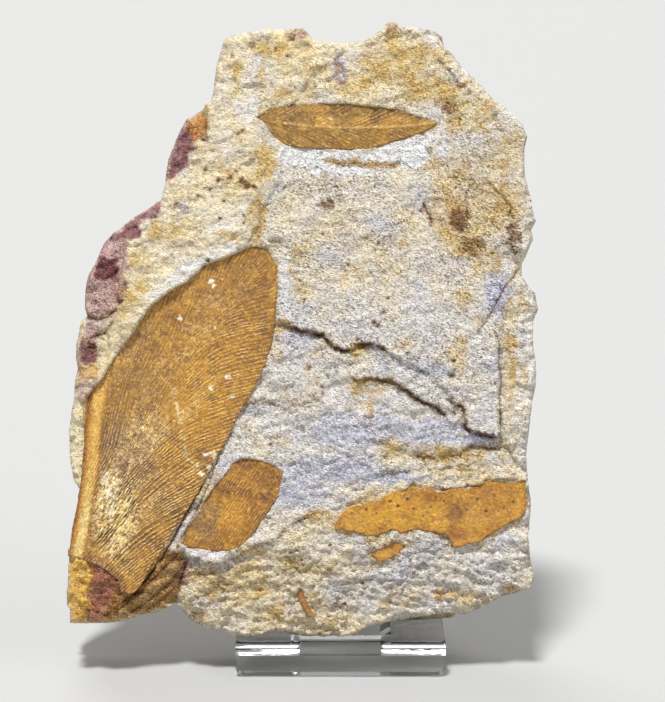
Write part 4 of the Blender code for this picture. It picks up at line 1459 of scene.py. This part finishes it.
def midrib_tones(points, colour):
    """The gold midrib with a painted highlight along its ridge, paler towards its foot, the brown line
    and dashes beside it and the cream edge left of it.
    """
    distance, share = to_line(points, MIDRIB)
    shown = between(share, 0.0, 0.1)
    rib = between(8.0 - np.abs(distance), 0, 2.5) * shown
    streak = np.clip(0.9 + 0.25 * noise(points, 9, 1300, 3, (0.5, 3, 1)), 0, 1)
    foot = between(points[:, 1], 450, 530)[:, None]
    colour = tinted(colour, (214, 156, 72), rib * streak)
    # Painted highlight along the midrib's ridge, paler and creamier towards its foot.
    crown_highlight = np.clip(1.15 * np.exp(-(((distance - 0.5) / 4.2) ** 4)) * streak, 0, 1) * shown
    highlight_tone = mixed(np.array((238, 190, 100.0)), np.array((248, 222, 160.0)), foot)
    colour = tinted(colour, highlight_tone, crown_highlight)
    colour = tinted(colour, (150, 84, 38), 0.9 * shown * faded(distance + 9, 2.0))
    dashes = uneven(points, 0.5, 1.3, 4, 1310, 2)
    colour = tinted(colour, (112, 80, 56), 0.75 * dashes * shown * faded(distance - 11.5, 2.6))
    left = between(-distance, 10, 12) * between(-points[:, 1], -548, -500)
    return tinted(colour, (226, 204, 152), left)


def big_leaf_tones(points, colour):
    """The midrib, the hatched patch with its dark strokes and painted highlights, the white seam and
    curl, the brown fold and the foot.
    """
    colour = midrib_tones(points, colour)
    lit = between(1.35 - spread(points, 116, 515, 20, 44), 0, 0.5)
    strokes = noise(points @ STROKE_TURN, 2.4, 1340, 2, (3.2, 0.8, 1))
    colour = tinted(colour, (76, 56, 34), 0.9 * lit * between(strokes, 0.0, 0.4))
    # Painted highlights between the dark strokes of the hatched patch.
    colour = tinted(colour, (284, 272, 236), 0.75 * lit * between(-strokes, 0.15, 0.5))
    seam, along = to_line(points, WHITE_SEAM)
    beads = uneven(points, 0.45, 1.7, 5, 1320, 2) * between(along, 0.05, 0.5)
    colour = tinted(colour, (250, 240, 214), beads * faded(seam, 2.2))
    curl, along = to_line(points, WHITE_CURL)
    colour = tinted(colour, GLINT, uneven(points, 0.8, 1.2, 4, 1330, 2) * faded(curl, 1.4))
    fold, _ = to_line(points, FOLD)
    brown = between(fold, -12, -5) * between(-fold, -6, -1) * between(along, 0, 0.15)
    colour = tinted(colour, (132, 84, 36), 0.7 * brown)
    lip, _ = to_line(points, BROKEN_FOOT)
    foot = between(9 - np.abs(lip), 0, 5) * between(points[:, 1], 548, 560)
    return tinted(colour, (130, 84, 40), 0.8 * foot)


class Finish:
    """A material being built: its nodes, links and shader."""

    def __init__(self, name):
        self.material = bpy.data.materials.new(name)
        self.material.use_nodes = True
        self.nodes = self.material.node_tree.nodes
        self.links = self.material.node_tree.links
        self.shader = self.nodes["Principled BSDF"]

    def feed(self, socket, value):
        """Links a socket to another one, or sets its value."""
        if isinstance(value, bpy.types.NodeSocket):
            self.links.new(value, socket)
        else:
            socket.default_value = value

    def node(self, kind, inputs, **settings):
        """A new node with these settings and inputs."""
        made = self.nodes.new("ShaderNode" + kind)
        for key, value in settings.items():
            setattr(made, key, value)
        for key, value in inputs.items():
            self.feed(made.inputs[key], value)
        return made

    def layer(self, name, output="Fac"):
        """A layer of the piece's points."""
        return self.node("Attribute", {}, attribute_name=name).outputs[output]

    def noise(self, where, scale, detail, roughness):
        inputs = {"Vector": where, "Scale": scale, "Detail": detail, "Roughness": roughness}
        return self.node("TexNoise", inputs).outputs["Fac"]

    def ranged(self, value, low, high, to_low=0.0, to_high=1.0):
        """Maps a value from one range onto another, held at its ends."""
        inputs = {"Value": value, "From Min": low, "From Max": high, "To Min": to_low, "To Max": to_high}
        return self.node("MapRange", inputs).outputs["Result"]

    def math(self, operation, *values):
        return self.node("Math", dict(enumerate(values)), operation=operation).outputs[0]

    def product(self, first, second):
        return self.math("MULTIPLY", first, second)

    def tint(self, kind, factor, first, second):
        """A colour mix; the second colour is a socket or from 0 to 255."""
        if isinstance(second, tuple):
            second = (*to_linear(second), 1.0)
        inputs = {"Factor": factor, "A": first, "B": second}
        settings = {"data_type": "RGBA", "clamp_result": True, "blend_type": kind}
        made = self.node("Mix", inputs, **settings)
        return next(out for out in made.outputs if out.type == "RGBA")

    def space(self, stretch, slope):
        """The piece's coordinates, turned down to the right by this slope and drawn out."""
        where = self.node("TexCoord", {}).outputs["Object"]
        inputs = {"Vector": where, "Rotation": (0, math.radians(slope), 0), "Scale": stretch}
        return self.node("Mapping", inputs, vector_type="TEXTURE").outputs["Vector"]

    def bump(self, *heights):
        """Bumps over each other: pairs of a height and its size in millimetres."""
        inputs = {"Strength": 1.0}
        for height, size in heights:
            made = self.node("Bump", {**inputs, "Height": height, "Distance": size * MM})
            inputs["Normal"] = made.outputs["Normal"]
        self.feed(self.shader.inputs["Normal"], inputs["Normal"])


def mudstone():
    """Dull stone: its points' colours, soft stains with grainy edges and a fine rough grain. Painted
    shade darkens its creases, hollows and dark grains, and painted highlights lighten its pale grains.
    """
    stone = Finish("mudstone")
    space = stone.space((1.75, 0.9, 0.85), 24)
    fine = stone.noise(space, 2700.0, 2.0, 0.7)
    scaly = stone.noise(space, 900.0, 3.0, 0.6)
    broad = stone.noise(space, 330.0, 4.0, 0.6)
    grit = stone.noise(space, 1700.0, 1.0, 0.5)
    # The grain layer sets how strong the grain and creases are, and with them the painted shade.
    amount = stone.layer("grain")

    ochre = stone.math("MULTIPLY_ADD", scaly, 0.9, stone.layer("ochre"))
    ochre = stone.ranged(stone.math("MULTIPLY_ADD", fine, 0.5, ochre), 0.8, 1.5, 0, 0.85)
    rust = stone.math("MULTIPLY_ADD", grit, 1.0, stone.layer("rust"))
    rust = stone.ranged(stone.math("MULTIPLY_ADD", scaly, 0.6, rust), 1.15, 1.65, 0, 0.85)
    # Creases along the broad noise's middle, bumped in and darkened with painted shade.
    off_middle = stone.math("ABSOLUTE", stone.math("SUBTRACT", broad, 0.5))
    shaded_crease = stone.ranged(off_middle, 0.0, 0.03, 1.0, 0.0)
    shaded_crease = stone.product(shaded_crease, stone.ranged(scaly, 0.42, 0.56, 0, 0.9))
    shaded_crease = stone.product(shaded_crease, amount)
    # Painted shade in the scaly hollows, and dark grains that are partly painted shade.
    hollow_shade = stone.product(stone.ranged(scaly, 0.48, 0.36, 0, 0.3), amount)
    dark_grain_and_shade = stone.product(amount, stone.ranged(fine, 0.48, 0.36, 0, 0.95))

    tone = stone.layer("tone", "Color")
    tone = stone.tint("MIX", ochre, tone, OCHRE)
    tone = stone.tint("MIX", rust, tone, RUST)
    # Painted shade in the creases and hollows and on the dark grains.
    tone = stone.tint("MULTIPLY", shaded_crease, tone, (128, 108, 92))
    tone = stone.tint("MULTIPLY", hollow_shade, tone, (168, 160, 150))
    tone = stone.tint("MULTIPLY", dark_grain_and_shade, tone, tone)
    tone = stone.tint("MULTIPLY", dark_grain_and_shade, tone, (154, 148, 142))
    # Painted highlights on the pale grains.
    tone = stone.tint("OVERLAY", stone.ranged(fine, 0.52, 0.66, 0, 0.75), tone, (255, 253, 248))
    tone = stone.tint("MIX", stone.ranged(grit, 0.715, 0.77, 0, 0.8), tone, (96, 76, 56))
    stone.feed(stone.shader.inputs["Base Color"], tone)
    stone.feed(stone.shader.inputs["Roughness"], stone.ranged(fine, 0.3, 0.7, 0.82, 0.97))
    stone.shader.inputs["Specular IOR Level"].default_value = 0.25
    stone.bump((broad, 1.2), (scaly, 0.8), (shaded_crease, -0.2), (fine, 0.7))
    return stone.material


def leaf_film():
    """A leaf's mineral film: its points' colours, thin pale veins with brown furrows and fine pits. The
    pale veins are partly painted highlight; painted shade darkens its pits and hollows, and painted
    highlights and glints lighten its grain.
    """
    leaf = Finish("leaf_film")
    space = leaf.space((1.1, 0.9, 1.0), 0)
    fine = leaf.noise(space, 2300.0, 3.0, 0.65)
    scaly = leaf.noise(space, 1300.0, 3.0, 0.65)
    grit = leaf.noise(space, 1500.0, 1.0, 0.5)
    turn = leaf.math("ARCTAN2", leaf.layer("vein_y"), leaf.layer("vein_x"))
    profile = leaf.ranged(leaf.math("ABSOLUTE", turn), 0, math.pi)
    strength = leaf.layer("vein")
    clear = leaf.product(strength, leaf.ranged(scaly, 0.4, 0.6, 0.3, 1.3))
    rough = leaf.ranged(strength, 0.1, 0.8, 0.5, 1.0)
    sunk = leaf.product(clear, leaf.ranged(profile, 0.55, 1.0, 0, 0.62))
    # Pale vein ridges, partly painted highlight.
    raised = leaf.product(clear, leaf.ranged(profile, 0.4, 0.05, 0, 0.72))
    # Painted shade in the fine pits and scaly hollows.
    dark_grain_and_shade = leaf.product(rough, leaf.ranged(fine, 0.47, 0.34, 0, 0.7))
    hollow_shade = leaf.product(rough, leaf.ranged(scaly, 0.48, 0.35, 0, 0.45))
    painted_highlight = leaf.product(rough, leaf.ranged(fine, 0.53, 0.67, 0, 0.6))

    tone = leaf.layer("tone", "Color")
    tone = leaf.tint("MIX", sunk, tone, (98, 66, 34))
    tone = leaf.tint("MIX", raised, tone, (238, 208, 150))
    tone = leaf.tint("MULTIPLY", dark_grain_and_shade, tone, (146, 124, 104))
    tone = leaf.tint("MULTIPLY", hollow_shade, tone, (164, 142, 124))
    # Painted highlights on the fine and scaly grain.
    tone = leaf.tint("ADD", painted_highlight, tone, tone)
    tone = leaf.tint("ADD", leaf.ranged(scaly, 0.54, 0.66, 0, 0.35), tone, tone)
    tone = leaf.tint("MIX", leaf.ranged(grit, 0.76, 0.82, 0, 0.6), tone, (86, 56, 28))
    # Painted glints: small pale sparks on the film.
    tone = leaf.tint("MIX", leaf.ranged(grit, 0.26, 0.2, 0, 0.7), tone, (240, 212, 164))
    leaf.feed(leaf.shader.inputs["Base Color"], tone)
    leaf.feed(leaf.shader.inputs["Roughness"], leaf.ranged(scaly, 0.35, 0.65, 0.78, 0.5))
    leaf.bump((leaf.product(clear, profile), -0.1), (scaly, 0.25), (fine, 0.14))
    return leaf.material


def clear_acrylic():
    """The easel's plastic: clear, with faint waves and a dusty, handled surface."""
    clear = Finish("clear_acrylic")
    clear.shader.inputs["Base Color"].default_value = (0.97, 0.98, 0.985, 1.0)
    clear.shader.inputs["Transmission Weight"].default_value = 1.0
    clear.shader.inputs["IOR"].default_value = 1.49
    where = clear.node("TexCoord", {}).outputs["Object"]
    dust = clear.noise(where, 900.0, 3.0, 0.7)
    clear.feed(clear.shader.inputs["Roughness"], clear.ranged(dust, 0.45, 0.75, 0.02, 0.14))
    clear.bump((clear.noise(where, 140.0, 2.0, 0.5), 0.06))
    return clear.material


def finish_stand():
    """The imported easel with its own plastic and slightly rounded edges."""
    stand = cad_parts["stand"]
    clear = clear_acrylic()
    for i in range(len(stand.data.materials)):
        stand.material_slots[i].material = clear
    weld = stand.modifiers.new("weld", "WELD")
    weld.merge_threshold = 0.01 * MM
    bevel = stand.modifiers.new("edges", "BEVEL")
    bevel.width = 0.3 * MM
    bevel.segments = 2
    bevel.limit_method = "ANGLE"
    bevel.angle_limit = math.radians(40)


FLOOR_REACH = 30
FLOOR_LEVEL = -0.3 * MM


def floor():
    """A pale floor that reaches past the horizon line of every view."""
    pale = Finish("pale_floor")
    pale.shader.inputs["Base Color"].default_value = (0.42, 0.42, 0.415, 1.0)
    pale.shader.inputs["Roughness"].default_value = 0.9
    data = bpy.data.meshes.new("floor")
    sides = ((-1, -1), (1, -1), (1, 1), (-1, 1))
    corners = [(x * FLOOR_REACH, y * FLOOR_REACH, FLOOR_LEVEL) for x, y in sides]
    data.from_pydata(corners, [], [(0, 1, 2, 3)])
    data.materials.append(pale.material)
    put("floor", data)


def look_from(thing, eye, aim):
    """Turns a camera or lamp at eye towards aim."""
    turn = (Vector(aim) - Vector(eye)).to_track_quat("-Z", "Y").to_matrix().to_4x4()
    thing.matrix_world = Matrix.Translation(Vector(eye)) @ turn


SENSOR = 36


def add_camera():
    """The camera square to the face, so far off that the photograph's height fills its view."""
    across = (PHOTO_MIDDLE[0] - SLAB_FOOT[0]) * PIXEL
    up = (SLAB_FOOT[1] - PHOTO_MIDDLE[1]) * PIXEL
    eye, aim = turned([(across, -EYE_DISTANCE, up), (across, 0, up)])
    data = bpy.data.cameras.new("camera")
    data.sensor_width = SENSOR
    data.sensor_fit = "VERTICAL"
    data.sensor_height = SENSOR
    data.lens = SENSOR * EYE_DISTANCE / (PHOTO_HEIGHT * PIXEL)
    data.clip_start = 0.01
    camera = put("camera", data)
    look_from(camera, eye, aim)
    bpy.context.scene.camera = camera


def lamp(name, power, softness, side, height):
    """A broad soft lamp far away: degrees to the left of the front, and above the floor."""
    data = bpy.data.lights.new(name, "SUN")
    data.energy = power
    data.angle = math.radians(softness)
    side, height = math.radians(side), math.radians(height)
    flat = math.cos(height)
    eye = (-math.sin(side) * flat, -math.cos(side) * flat, math.sin(height))
    look_from(put(name, data), eye, (0, 0, 0))


def add_lights():
    """A soft key lamp above the front, weak ones behind and beside, and a pale room."""
    lamp("key", 3.95, 10, 22, 70)
    lamp("side", 0.7, 40, -65, 30)
    lamp("back", 1.2, 40, 160, 42)
    world = bpy.data.worlds.new("room")
    world.use_nodes = True
    room = world.node_tree.nodes["Background"]
    room.inputs["Color"].default_value = (1, 1, 1, 1)
    room.inputs["Strength"].default_value = 0.35
    bpy.context.scene.world = world
    bpy.context.scene.view_settings.view_transform = "Standard"


add_camera()
build_stone(mudstone())
film = leaf_film()
for leaf in LEAVES:
    build_film(leaf, film)
finish_stand()
floor()
add_lights()
